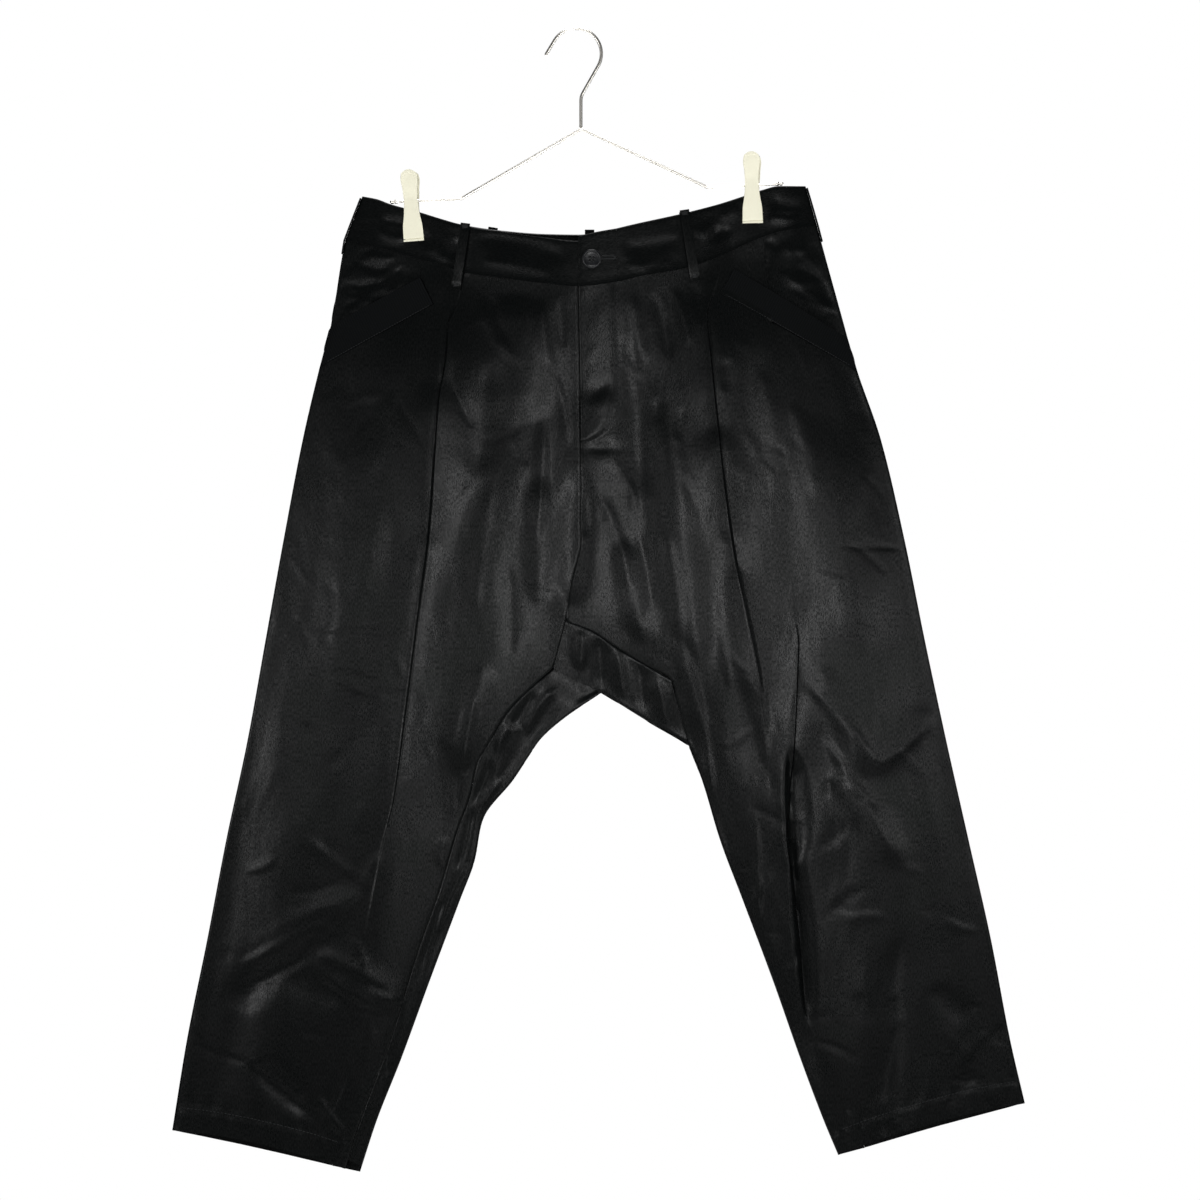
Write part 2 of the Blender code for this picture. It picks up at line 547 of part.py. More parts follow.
def gusset_legs():
    # Right leg: from the front seam round the inner fold to the back seam.
    # Columns: height on the front seam, on the fold, on the back seam
    heights = [(-568.5, -590.5, -568), (-579, -613, -590), (-605, -631, -610), (-631, -649, -631),
               (-653, -667, -653), (-680, -702, -680), (-713, -738, -713), (-765, -773, -765),
               (-821, -845, -821), (-898, -916, -898), (-950, -969, -950), (-973, -990, -973),
               (-1012, -1015, -1010)]
    front_seam = [CROTCH_TUCK[0], *GUSSET_SEAM_RIGHT[2:]]
    back_seam = [CENTRE_BACK[1], *BACK_SEAM_RIGHT]
    front = panel_grid(front_seam, INNER_FOLD_RIGHT, [row[:2] for row in heights], [],
                       [(SEAM_STEPS, 3, FOLD_STEPS)], (SEAM_GAP, 0.0), waisted=False)
    back = panel_grid(INNER_FOLD_RIGHT, back_seam, [row[1:] for row in heights], [],
                      [(FOLD_STEPS, 3, SEAM_STEPS)], (0.0, SEAM_GAP), waisted=False)
    sunk = -TUCK_DEPTH * (1.0 - smooth(distance_to(CROTCH_TUCK, *np.moveaxis(front, -1, 0))
                                       / TUCK_RUN))
    points = np.concatenate([lay("front", front[..., 0], front[..., 1], sunk),
                             lay("back", back[..., 0], back[..., 1])], axis=1)
    thickness = np.concatenate([hem_thickness(front), hem_thickness(back)], axis=1)
    wall("gusset_right_leg", points, thickness, SATIN, 1)

    # Left leg: the front seam lies on the fold, so this stretch shows on the back only.
    heights = [(-590, -564), (-613, -575), (-625, -590), (-636, -610), (-652, -640), (-667, -667),
               (-720, -720), (-773, -773), (-845, -845), (-916, -916), (-969, -969),
               (-1000, -994)]
    seam = [CENTRE_BACK[1], *BACK_SEAM_LEFT]
    grid = panel_grid(INNER_FOLD_LEFT, seam, heights, [], [(FOLD_STEPS, 3, SEAM_STEPS)],
                      (0.0, SEAM_GAP), waisted=False)
    points = lay("back", grid[..., 0], grid[..., 1])
    wall("gusset_left_leg", points, hem_thickness(grid), SATIN, -1)


def band_grid(stations, shares, near_first, near_last, end_gaps, edge_gaps, waisted=None):
    """Places (x, z) of a strip from its stations: rows run along it and columns across it.

    The strip stops short of its ends and of its upper and lower edges by the gaps given. waisted
    names the edge that lies on the waist seam, upper or lower.
    """
    rows = denser(stations, ROW_STEP)
    first, last = rows[1] - rows[0], rows[-2] - rows[-1]
    first_length, last_length = math.hypot(*first[:2]), math.hypot(*last[:2])
    rows = np.array([*(rows[0] + first * step / first_length for step in near_first),
                     *rows[1:-1],
                     *(rows[-1] + last * step / last_length for step in reversed(near_last))])
    rows[0] += first * end_gaps[0] / first_length
    rows[-1] += last * end_gaps[1] / last_length
    if waisted == "lower":
        rows[:, 3] = waist_seam(rows[:, 2])
    elif waisted == "upper":
        rows[:, 1] = waist_seam(rows[:, 0])
    upper, lower = rows[:, None, :2], rows[:, None, 2:]
    down = (lower - upper) / np.linalg.norm(lower - upper, axis=-1, keepdims=True)
    upper, lower = upper + down * edge_gaps[0], lower - down * edge_gaps[1]
    return upper + (lower - upper) * np.array(shares)[None, :, None]


BAND_SHARES = (0.0, 0.06, 0.35, 0.65, 0.94, 1.0)


def waistband():
    edge_gaps = (0.0, SEAM_GAP / 2)
    grid = band_grid(BAND_RIGHT, BAND_SHARES, FOLD_STEPS, (0.0,), (0.0, 0.0), edge_gaps, "lower")
    wall("waistband_right", lay("front", grid[..., 0], grid[..., 1], BAND_LIFT), BAND_CLOTH,
         SATIN, -1)
    grid = band_grid(BAND_LEFT, BAND_SHARES, (0.0,), FOLD_STEPS, (SEAM_GAP, 0.0), edge_gaps,
                     "lower")
    lift = BAND_LIFT + LAP_LIFT * (1.0 - smooth((grid[..., 0] - BAND_LEFT[0][0]) / LAP_RUN))
    wall("waistband_left", lay("front", grid[..., 0], grid[..., 1], lift), BAND_CLOTH, SATIN, -1)
    grid = band_grid(BAND_FLY_END, BAND_SHARES, (0.0, 1.5), (0.0,), (0.0, 0.0), edge_gaps,
                     "lower")
    lift = BAND_LIFT + LAP_LIFT
    wall("waistband_fly_end", lay("front", grid[..., 0], grid[..., 1], lift), BAND_CLOTH,
         SATIN, -1)
    grid = band_grid(BAND_BACK, BAND_SHARES, FOLD_STEPS, FOLD_STEPS, (0.0, 0.0), edge_gaps,
                     "lower")
    wall("waistband_back", lay("back", grid[..., 0], grid[..., 1], BAND_LIFT), BAND_CLOTH,
         SATIN, 1)


def hip_yokes():
    """The yoke behind each pocket runs from the waist seam to just under the tape."""
    # Columns: x on the waist seam, x on the tape's upper edge, how far it runs under the tape
    sides = [
        ("hip_yoke_right", TAPE_RIGHT_UPPER, -1,
         [(-139, -138, 4), (-151, -158, 4), (-178, -188, 4), (-196, -207, 0), (-205, -218, 0)]),
        ("hip_yoke_left", TAPE_LEFT_UPPER, 1,
         [(140, 140, 4), (149, 157, 4), (164, 175, 4), (179, 193, 4), (204, 229, 0), (214, 241.5, 0)]),
    ]
    for name, tape, way, places in sides:
        stations = [(top, waist_seam(top), low, z_on(sorted(tape), low) - under)
                    for top, low, under in places]
        grid = band_grid(stations, (0.0, 0.25, 0.5, 0.75, 1.0), (0.0,), FOLD_STEPS,
                         (SEAM_GAP, 0.0), (CURVED_GAP, 0.0), "upper")
        wall(name, lay("front", grid[..., 0], grid[..., 1]), CLOTH, SATIN, -way)


def pocket_tapes():
    for name, upper, lower, way in (("pocket_tape_right", TAPE_RIGHT_UPPER, TAPE_RIGHT_LOWER, -1),
                                    ("pocket_tape_left", TAPE_LEFT_UPPER, TAPE_LEFT_LOWER, 1)):
        stations = [(*upper[0], *lower[0]), (*upper[1], *lower[1])]
        shares = (0.0, 0.08, 0.4, 0.7, 1.0)
        grid = band_grid(stations, shares, (0.0,), (*FOLD_STEPS, 10.0), (TAPE_END_GAP, 0.0),
                         (0.0, 3 * SEAM_GAP))
        lift = TAPE_LIFT * (1.0 - np.array(shares))
        wall(name, lay("front", grid[..., 0], grid[..., 1], lift), CLOTH, TAPE, -way)


def gusset_crotch():
    """Front stretch of the gusset between the legs. Its left end lies over the right leg's."""
    # Columns: x and height on the crotch seam, x and height on the lower fold
    stations = [(*GUSSET_SEAM_CROTCH[0], *CROTCH_TUCK[0]), (*GUSSET_SEAM_CROTCH[1], *CROTCH_TUCK[1]),
                (*GUSSET_SEAM_CROTCH[2], *CROTCH_TUCK[2]), (*GUSSET_SEAM_CROTCH[3], 61, -613),
                (72.5, -570.5, 80, -624.2), (*GUSSET_SEAM_CROTCH[4], 100, -636)]
    shares = (0.0, 0.1, 0.35, 0.6, 0.78, 0.9, 0.97, 1.0)
    grid = band_grid(stations, shares, (0.0, 5.0), (0.0, 5.0), (SEAM_GAP, SEAM_GAP),
                     (SEAM_GAP, 0.0))
    x, z = grid[..., 0], grid[..., 1]
    left_end = 1.0 - smooth((x - CROTCH_TUCK[0][0]) / 40.0)
    lift = TUCK_LIFT * left_end * np.array(shares)
    wall("gusset_crotch", lay("front", x, z, lift), CLOTH, SATIN, -1)


def belt_loops():
    for name, layer, x0, z0, x1, z1 in BELT_LOOPS:
        along = np.linspace(0.0, 1.0, 8)[:, None]
        across = np.array([-0.5, 0.0, 0.5])[None, :] * LOOP_WIDTH
        length = math.dist((x0, z0), (x1, z1))
        x = x0 + (x1 - x0) * along - across * (z1 - z0) / length
        z = z0 + (z1 - z0) * along + across * (x1 - x0) / length
        lift = BAND_LIFT + SEAM_GAP + LOOP_CLOTH + LOOP_BOW * np.sin(math.pi * along)
        wall(name, lay(layer, x, z, lift), LOOP_CLOTH, SATIN, 1 if layer == "front" else -1)
    for name, seam, way, top, low in SIDE_LOOPS:
        along = np.linspace(0.0, 1.0, 8)[:, None]
        y = np.array([-0.5, 0.0, 0.5])[None, :] * LOOP_WIDTH + 0.0 * along
        z = top + (low - top) * along + 0.0 * y
        lift = SEAM_GAP + LOOP_CLOTH + LOOP_BOW * np.sin(math.pi * along)
        points = np.stack([x_on(seam, z) + way * lift, y, z], axis=-1)
        wall(name, points, LOOP_CLOTH, SATIN, way)


def turned(name, profile, centre, recipe, segments=24):
    """Round piece about an axis along -Y, from (radius, distance towards -Y) pairs."""
    x, y, z = centre
    vertices = [(x, y - profile[0][1], z)]
    faces = []
    for radius, out in profile[1:-1]:
        for k in range(segments):
            turn = math.tau * k / segments
            vertices.append((x + radius * math.cos(turn), y - out, z + radius * math.sin(turn)))
    vertices.append((x, y - profile[-1][1], z))
    rings = len(profile) - 2
    last = len(vertices) - 1
    for k in range(segments):
        after = (k + 1) % segments
        faces.append((0, 1 + after, 1 + k))
        for ring in range(rings - 1):
            low, high = 1 + ring * segments, 1 + (ring + 1) * segments
            faces.append((low + k, low + after, high + after, high + k))
        top = 1 + (rings - 1) * segments
        faces.append((last, top + k, top + after))
    return add_object(name, vertices, faces, recipe)


def fly_button():
    x, z = BUTTON_AT
    turns = np.linspace(0.0, math.tau, 16)
    around = half_depth("front", x + BUTTON_RADIUS * np.cos(turns), z + BUTTON_RADIUS * np.sin(turns))
    back = -(around.max() + BAND_LIFT + LAP_LIFT + SEAM_GAP)
    # Columns: radius, distance from the back face
    profile = [(0.0, 0.0), (6.4, 0.0), (8.2, 0.6), (BUTTON_RADIUS, 1.5), (8.2, 2.5),
               (7.4, BUTTON_THICKNESS), (6.4, 2.8), (5.7, 2.0), (0.0, 2.0)]
    button = turned("fly_button", profile, (x, back, z), BUTTON)
    for number in range(4):
        turn = math.tau * (number + BUTTON_TURN) / 4
        cutter = turned(f"hole_cutter_{number}",
                        [(0.0, -1.0), (BUTTON_HOLE_RADIUS, -1.0),
                         (BUTTON_HOLE_RADIUS, BUTTON_THICKNESS + 1.0), (0.0, BUTTON_THICKNESS + 1.0)],
                        (x + BUTTON_HOLE_SPREAD * math.cos(turn), back,
                         z + BUTTON_HOLE_SPREAD * math.sin(turn)), BUTTON, 8)
        cutter.hide_render = True
        cutter.display_type = "WIRE"
        hole = button.modifiers.new(f"hole_{number}", "BOOLEAN")
        hole.operation = "DIFFERENCE"
        hole.object = cutter


def wire(name, route, radius, recipe, widths=None):
    """Round wire along a list of points, with closed ends."""
    curve = bpy.data.curves.new(name, "CURVE")
    curve.dimensions = "3D"
    curve.bevel_depth = radius * MM
    curve.bevel_resolution = 2
    curve.use_fill_caps = True
    spline = curve.splines.new("POLY")
    spline.points.add(len(route) - 1)
    for k, place in enumerate(route):
        spline.points[k].co = (*(v * MM for v in place), 1.0)
        spline.points[k].radius = 1.0 if widths is None else widths[k]
    curve.materials.append(material(recipe))
    made = bpy.data.objects.new(name, curve)
    bpy.context.scene.collection.objects.link(made)
    return made


def bent(corners, radii, steps=5):
    """Route (x, z) along straight runs, with each corner rounded to its radius."""
    route = [corners[0]]
    for before, corner, after, radius in zip(corners, corners[1:], corners[2:], radii[1:]):
        before, corner, after = (np.array(place, float) for place in (before, corner, after))
        back = (before - corner) / np.linalg.norm(before - corner)
        on = (after - corner) / np.linalg.norm(after - corner)
        half = math.acos(np.clip(np.dot(back, on), -1.0, 1.0)) / 2.0
        centre = corner + (back + on) / np.linalg.norm(back + on) * radius / math.sin(half)
        first = corner + back * radius / math.tan(half) - centre
        last = corner + on * radius / math.tan(half) - centre
        for k in range(steps + 1):
            spoke = first + (last - first) * k / steps
            route.append(tuple(centre + spoke / np.linalg.norm(spoke) * radius))
    return [*route, corners[-1]]


def hanger():
    centre_z = WIRE_RADIUS - HOOK_RADIUS
    start, stop = math.radians(HOOK_FROM), math.radians(HOOK_TO)
    arc = []
    for k in range(19):
        turn = start + (stop - start) * k / 18
        arc.append((HOOK_RADIUS * math.cos(turn), centre_z + HOOK_RADIUS * math.sin(turn)))
    tip = (arc[0][0] - HOOK_TIP * math.sin(start), arc[0][1] + HOOK_TIP * math.cos(start))
    shank = (arc[-1][0] + HOOK_SHANK * math.sin(stop), arc[-1][1] - HOOK_SHANK * math.cos(stop))
    neck = bent([arc[-1], shank, (shank[0], NECK_LOW)], [0, NECK_BEND])
    wire("hanger_hook", [(x, 0.0, z) for x, z in [tip, *arc, *neck[1:]]], WIRE_RADIUS, STEEL)
    route = bent(FRAME_ROUTE, FRAME_BENDS)
    ends = [0.5, CRIMP, CRIMP, 1.0]
    first, last = np.array(route[0]), np.array(route[-1])
    toward_first = (np.array(route[1]) - first) / np.linalg.norm(np.array(route[1]) - first)
    toward_last = (np.array(route[-2]) - last) / np.linalg.norm(np.array(route[-2]) - last)
    steps = (0.0, 1.2, 3.4, 5.4)
    route = [*(tuple(first + toward_first * step) for step in steps), *route[1:-1],
             *(tuple(last + toward_last * step) for step in reversed(steps))]
    widths = [*ends, *[1.0] * (len(route) - 8), *reversed(ends)]
    wire("hanger_frame", [(x, 0.0, z) for x, z in route], WIRE_RADIUS, STEEL, widths)


def clips():
    for side, top_x, top_z, low_x, low_z in CLIPS:
        down = np.array([low_x - top_x, low_z - top_z], float)
        height = np.linalg.norm(down)
        across = np.array([-down[1], down[0]]) / height
        for jaw, way in (("front", -1), ("back", 1)):
            rows = []
            for share, half, out, turned_in in CLIP_PROFILE:
                x, z = np.array([top_x, top_z]) + down * share
                step_x, step_z = across * half
                columns = [(-1.0, out - turned_in), (-1.0, out), (-0.5, out), (0.0, out),
                           (0.5, out), (1.0, out), (1.0, out - turned_in)]
                rows.append([(x + step_x * place, way * y, z + step_z * place)
                             for place, y in columns])
            wall(f"clip_{side}_{jaw}_jaw", np.array(rows), CLIP_PLATE, PLATE, -way)
        bar = [(x, z) for x, z in (FRAME_ROUTE[:2] if side == "right" else FRAME_ROUTE[-2:])]
        middle_x = (top_x + low_x) / 2
        middle = np.array([middle_x, 0.0, z_on(bar, middle_x)])
        axis = np.array([bar[1][0] - bar[0][0], 0.0, bar[1][1] - bar[0][1]])
        axis /= np.linalg.norm(axis)
        other = np.cross(axis, (0.0, 1.0, 0.0))
        count = SPRING_TURNS * 10
        coil = []
        for k in range(count + 1):
            turn = math.tau * k / 10
            along = (k / count - 0.5) * SPRING_TURNS * SPRING_PITCH
            coil.append(middle + axis * along + SPRING_RADIUS * (
                math.cos(turn) * np.array([0.0, 1.0, 0.0]) + math.sin(turn) * other))
        spring = wire(f"clip_{side}_spring", coil, SPRING_WIRE, STEEL)
        spring.data.bevel_resolution = 1


def build():
    clear_scene()
    front_panel_right()
    front_panel_left()
    back_panels()
    gusset_legs()
    gusset_crotch()
    waistband()
    hip_yokes()
    pocket_tapes()
    belt_loops()
    fly_button()
    hanger()
    clips()


build()
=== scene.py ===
"""Looks of dropped-crotch satin trousers that hang from a steel clip hanger.

Every cloth piece is a thin shell on the form that its solid has, with the finer folds added. The
tables are in millimetres in the frame's own axes: x across, z up, the front towards -Y, and the
wearer's right at -X. MM turns them to metres.
"""

import math

import bmesh
import bpy
import numpy as np
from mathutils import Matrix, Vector


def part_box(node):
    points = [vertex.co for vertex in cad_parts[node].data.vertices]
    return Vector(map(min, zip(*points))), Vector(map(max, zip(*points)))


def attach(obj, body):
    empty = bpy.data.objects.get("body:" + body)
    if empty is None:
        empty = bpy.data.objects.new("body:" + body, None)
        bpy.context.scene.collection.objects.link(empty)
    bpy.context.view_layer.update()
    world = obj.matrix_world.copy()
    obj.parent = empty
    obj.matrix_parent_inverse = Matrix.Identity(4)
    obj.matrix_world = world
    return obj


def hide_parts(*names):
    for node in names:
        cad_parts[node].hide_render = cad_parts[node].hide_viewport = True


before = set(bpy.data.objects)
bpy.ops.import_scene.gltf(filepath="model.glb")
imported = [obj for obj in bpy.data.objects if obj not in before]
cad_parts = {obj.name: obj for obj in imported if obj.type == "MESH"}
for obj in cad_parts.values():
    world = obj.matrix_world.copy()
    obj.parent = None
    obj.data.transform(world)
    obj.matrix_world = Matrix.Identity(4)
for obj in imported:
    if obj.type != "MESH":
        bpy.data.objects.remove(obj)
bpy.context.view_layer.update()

MM = 0.001

# Form of the garment, as its solids have it
EDGE_RADIUS = 2.0       # of the folded edges, pressed tighter than on the solid
EDGE_RAMP = 2.0         # and the depth that the cloth gains behind them
EDGE_RAMP_RUN = 30.0
EDGE_WIDTH = 85.0       # from a folded edge to the plateau, softer than on the solid
LIFT_FADE = 7.0         # what lies on a panel comes down to it within this distance of an edge
FOLD_FADE = 12.0        # folds of the cloth die out within this distance of an edge
SEAM_FADE = 24.0        # and of the waist seam
SEAM_SWELL = 1.2        # how far the front is held out along the waist seam
SEAM_SWELL_RUN = 16.0   # and the height over which it falls in again
SWELL_FADE = 10.0       # it dies out within this distance of an edge
CLIP_FADE = 6.0         # and where the waist's half depth is less than this, towards the clips
FINE_FADE = 8.0         # fine creases die out within this distance of an edge
WAIST_BLEND = 120.0     # height over which the waist's section turns into the body's
BAND_LIFT = 0.4
TAPE_LIFT = 2.5
TUCK_DEPTH = 4.5
TUCK_RUN = 26.0
TUCK_LIFT = 1.0
LAP_LIFT = 2.1
FLY_LIFT = 0.25
LAP_RUN = 55.0
FLY_END = -367.0
FLY_WIDTH = 34.0        # from the centre front to the stitched edge of the fly
FLY_TURN = -330.0       # height at which that edge turns in to the centre front
FLY_PUFF = 0.4          # how far it swells inside its stitching
FLY_PUFF_LOW = 1.3      # and how much further near its foot
FLY_GROOVE = 0.3        # along the stitching
# Columns: x, height, depth
FLY_DENT = (21.0, -320.0, 1.2)      # slanted dent over the foot
FLY_FOOT = (22.0, -372.0, 1.4)      # and the hollow under it
HEM_HEIGHT = 22.0
HEM_PROUD = 0.5         # of the hem over the panel, of its groove and of its puckers
HEM_STITCHING = 20.5    # of the stitched line over the edge
HEM_LEAN = 0.16         # how far the stitching moves in sideways for each millimetre up
HEM_RISE = 6.0
DIP_FADE = 110.0
PLEAT_RUN = 34.0        # width over which the cloth over a pleat falls back
PLEAT_SHADE = 22.0      # and over which the cloth under it does
PLEAT_OVER_SHARES = (0.75, 0.25)    # of that fall, over PLEAT_RUN and over PLEAT_LIP
PLEAT_UNDER_SHARES = (0.42, -0.45)
PLEAT_LIP = 5.0         # width of the crisp roll beside the folded edge

# The shells
CLOTH = 0.5             # satin
BAND = 1.5              # two layers of satin and an interlining
LOOP = 1.3
TAPE_THICKNESS = 0.8
HEM = 1.0               # turned-up satin, two layers
SEAM_GAP = 0.04         # between the edges of two sewn pieces
SEAM_TURN = 0.8         # how far a sewn edge rolls in
SEAM_RUN = 2.0          # and over what width
CELL = 2.7              # longest cell of a shell's mesh

# Outlines, top to bottom, as (x, z)
SIDE_RIGHT = [(-190, -148), (-205, -187), (-218, -263), (-228, -300), (-243, -364), (-260, -453),
              (-276, -542), (-292, -631), (-311, -720), (-328, -809), (-346, -898), (-359, -978)]
SIDE_LEFT = [(204, -139), (214, -174), (241.5, -274), (250, -303), (271, -364), (292, -453),
             (310, -542), (329, -631), (349, -720), (369, -809), (386, -898), (399, -954)]
INNER_FOLD_RIGHT = [(23, -589), (-12, -613), (-32, -631), (-44, -649), (-56, -667), (-83, -702),
                    (-90, -738), (-103, -773), (-130, -845), (-156, -916), (-177, -969),
                    (-192, -1015)]
INNER_FOLD_LEFT = [(23, -589), (61, -613), (100, -636), (112, -667), (128, -720), (148, -773),
                   (175, -845), (200, -916), (220, -969), (233, -1000)]
CENTRE_FRONT = [(2, -229), (4, -367), (4, -453), (-4, -492), (-9, -525)]
GUSSET_SEAM_RIGHT = [(-15, -549), (-19, -564), (-34, -579), (-60, -605), (-76, -631), (-88, -653),
                     (-94, -680), (-106, -713), (-121, -765), (-141, -821), (-165, -898),
                     (-193, -973), (-205, -1012)]
GUSSET_SEAM_CROTCH = [(-9, -525), (12, -533), (36, -549), (61, -564), (84, -577)]
CROTCH_DRAPE = [(89.2, -596), (94.3, -615)]
CROTCH_TUCK = [(-20, -567), (1, -578), (22, -589)]
CENTRE_BACK = [(12, -228), (14, -562)]
BACK_SEAM_RIGHT = [(-18, -590), (-42, -610), (-62, -631), (-77, -653), (-100, -680), (-115, -713),
                   (-128, -765), (-147, -821), (-175, -898), (-203, -973), (-217, -1010)]
BACK_SEAM_LEFT = [(40, -575), (70, -590), (96, -610), (124, -640), (137, -667), (153, -720),
                  (173, -773), (200, -845), (225, -916), (245, -969), (257, -994)]
WAIST_SEAM = [(-205, -187), (-178, -193), (-151, -200), (-139, -204), (-128, -206), (-100, -216),
              (-68, -221), (-30, -226), (2, -229), (36, -225), (57, -220), (99, -212), (124, -203),
              (140, -195.5), (160, -186.5), (179, -180), (198, -176), (214, -174)]
TAPE_RIGHT_UPPER = [(-138, -220), (-218, -263)]
TAPE_RIGHT_LOWER = [(-126, -244), (-228, -300)]
TAPE_LEFT_UPPER = [(140, -212), (241.5, -274)]
TAPE_LEFT_LOWER = [(128, -234), (250, -303)]

# Half depth beyond the edge radius. Columns: height, front layer, back layer
BODY_DEPTH = [(-180, 8, 8), (-300, 9, 10), (-450, 8, 11), (-600, 7, 9), (-800, 6, 7), (-1010, 6, 6)]
# Columns: place across the waist, front layer, back layer. It is shut under the two clips.
WAIST_DEPTH = [(-205, 2, 2), (-184, 1, 1), (-168, -1.4, -1.4), (-121, -1.4, -1.4), (-92, 5, 4),
               (-45, 12, 11), (10, 15, 13), (60, 12, 11), (110, 5, 4), (140, -1.4, -1.4),
               (174, -1.4, -1.4), (190, 1, 1), (214, 2, 2)]

# Reverse pleats: the centre side lies on top. Columns: x, height, how far the fold stands up, width
# of its folded edge
PLEAT_RIGHT = [(-100, -216, 0.3, 2), (-104, -240, 1.0, 2), (-113, -262, 3.0, 2),
               (-115, -292, 4.5, 2), (-121, -329, 4.5, 2), (-129, -442, 4.2, 3.6),
               (-141, -534, 3.4, 4.2), (-151, -612, 2.8, 4.2), (-161, -684, 2.2, 3.4),
               (-172, -728, 1.3, 3), (-196, -850, 0, 3), (-230, -990, 0, 3)]
PLEAT_LEFT = [(131, -200, 0.3, 2), (122, -233, 1.0, 2), (116, -254, 3.0, 2), (119, -288, 4.5, 2),
              (123, -327, 4.5, 2), (133, -418, 4.0, 2.6), (140, -466, 3.6, 3.4),
              (152, -523, 3.0, 5), (164, -587, 2.2, 7), (169, -640, 0.6, 8), (176, -760, 0, 8),
              (187, -845, 0, 8), (211, -916, 0, 8), (234, -975, 0, 8)]

# Deep fold down the left leg, in the same columns: the inner side lies on top
LEG_FOLD = [(168, -205, 0, 2), (178, -300, 0, 2), (188, -450, 0, 2), (194, -520, 0.2, 2),
            (197, -545, 1.8, 1.6), (196, -575, 2.8, 1.6), (193, -640, 3.6, 1.8), (188, -690, 5.0, 2.4),
            (187, -712, 5.0, 2.4), (190, -745, 4.6, 2.2), (198, -810, 3.8, 2), (203, -868, 1.8, 2),
            (213, -900, 0, 3), (252, -975, 0, 2)]

# Folds. Columns: from x, height, to x, height, bow to the left of the way down, rise, half width
# on the left, half width on the right
FRONT_FOLDS = [
    (190, -636, 192, -744, 0, -7.5, 4.5, 12),   # hollow beside the deep fold down the left leg
    (191, -716, 206, -888, 0, -5.8, 3.6, 8),
    (-120, -310, -131, -465, 0, 3.2, 30, 26),   # the cloth swells over the right pleat
    (-54, -232, -46, -352, -4, 3.6, 44, 26),    # and beside it, under the waist
    (127, -350, 135, -460, 0, 2.6, 26, 14),     # and over the left one
    (140, -470, 166, -600, 0, 1.6, 22, 9),
    (212, -560, 262, -668, 0, 2.4, 15, 15),     # V of ridges beside it
    (262, -662, 322, -600, 0, 2.0, 14, 14),
    (226, -655, 292, -745, 0, 2.8, 16, 16),
    (284, -800, 266, -960, 0, -1.2, 16, 16),    # crease above the left hem
    (312, -850, 352, -880, 0, -1.2, 12, 12),
    (-190, -762, -300, -834, 0, 2.4, 13, 13),   # slanted folds above the right hem
    (-215, -800, -312, -870, 0, -2.8, 15, 15),
    (-238, -818, -150, -868, 0, 2.4, 13, 13),
    (-284, -916, -236, -962, 0, -1.6, 13, 13),
    (-30, -395, -34, -515, 0, 2.4, 13, 13),     # soft upright folds that hang from the waist
    (-70, -290, -90, -400, 0, -1.8, 16, 16),
    (-82, -560, -100, -660, 0, 2.2, 14, 14),
    (3, -385, -4, -520, 0, -2.6, 13, 13),
    (45, -270, 60, -420, 0, -2.0, 15, 15),
    (78, -330, 112, -575, 0, 3.0, 17, 17),
    (40, -450, 62, -548, 0, 2.0, 12, 12),
    (-190, -330, -215, -620, 0, 2.0, 26, 26),
    (215, -340, 262, -560, 0, 2.2, 26, 26),
    (-34, -589, -190, -1000, 0, -1.2, 9, 9),    # sunk along the right gusset seam
]
BACK_FOLDS = [
    (10, -560, -110, -400, 0, 2.6, 18, 18),     # drag folds that fan up from the crotch
    (16, -560, 130, -395, 0, 2.6, 18, 18),
    (0, -575, -150, -520, 0, -2.0, 16, 16),
    (30, -575, 190, -510, 0, -2.0, 16, 16),
    (12, -260, 13, -540, 0, -1.6, 12, 12),
    (-90, -250, -120, -430, 0, 2.0, 22, 22),
    (110, -245, 140, -430, 0, 2.0, 22, 22),
    (-120, -610, -290, -700, 0, 2.2, 18, 18),
    (170, -600, 330, -690, 0, 2.2, 18, 18),
    (-180, -760, -310, -800, 0, -2.4, 16, 16),
    (200, -770, 352, -790, 0, -2.4, 16, 16),
    (-190, -850, -300, -930, 0, 2.2, 16, 16),
    (230, -850, 360, -900, 0, 2.2, 16, 16),
]
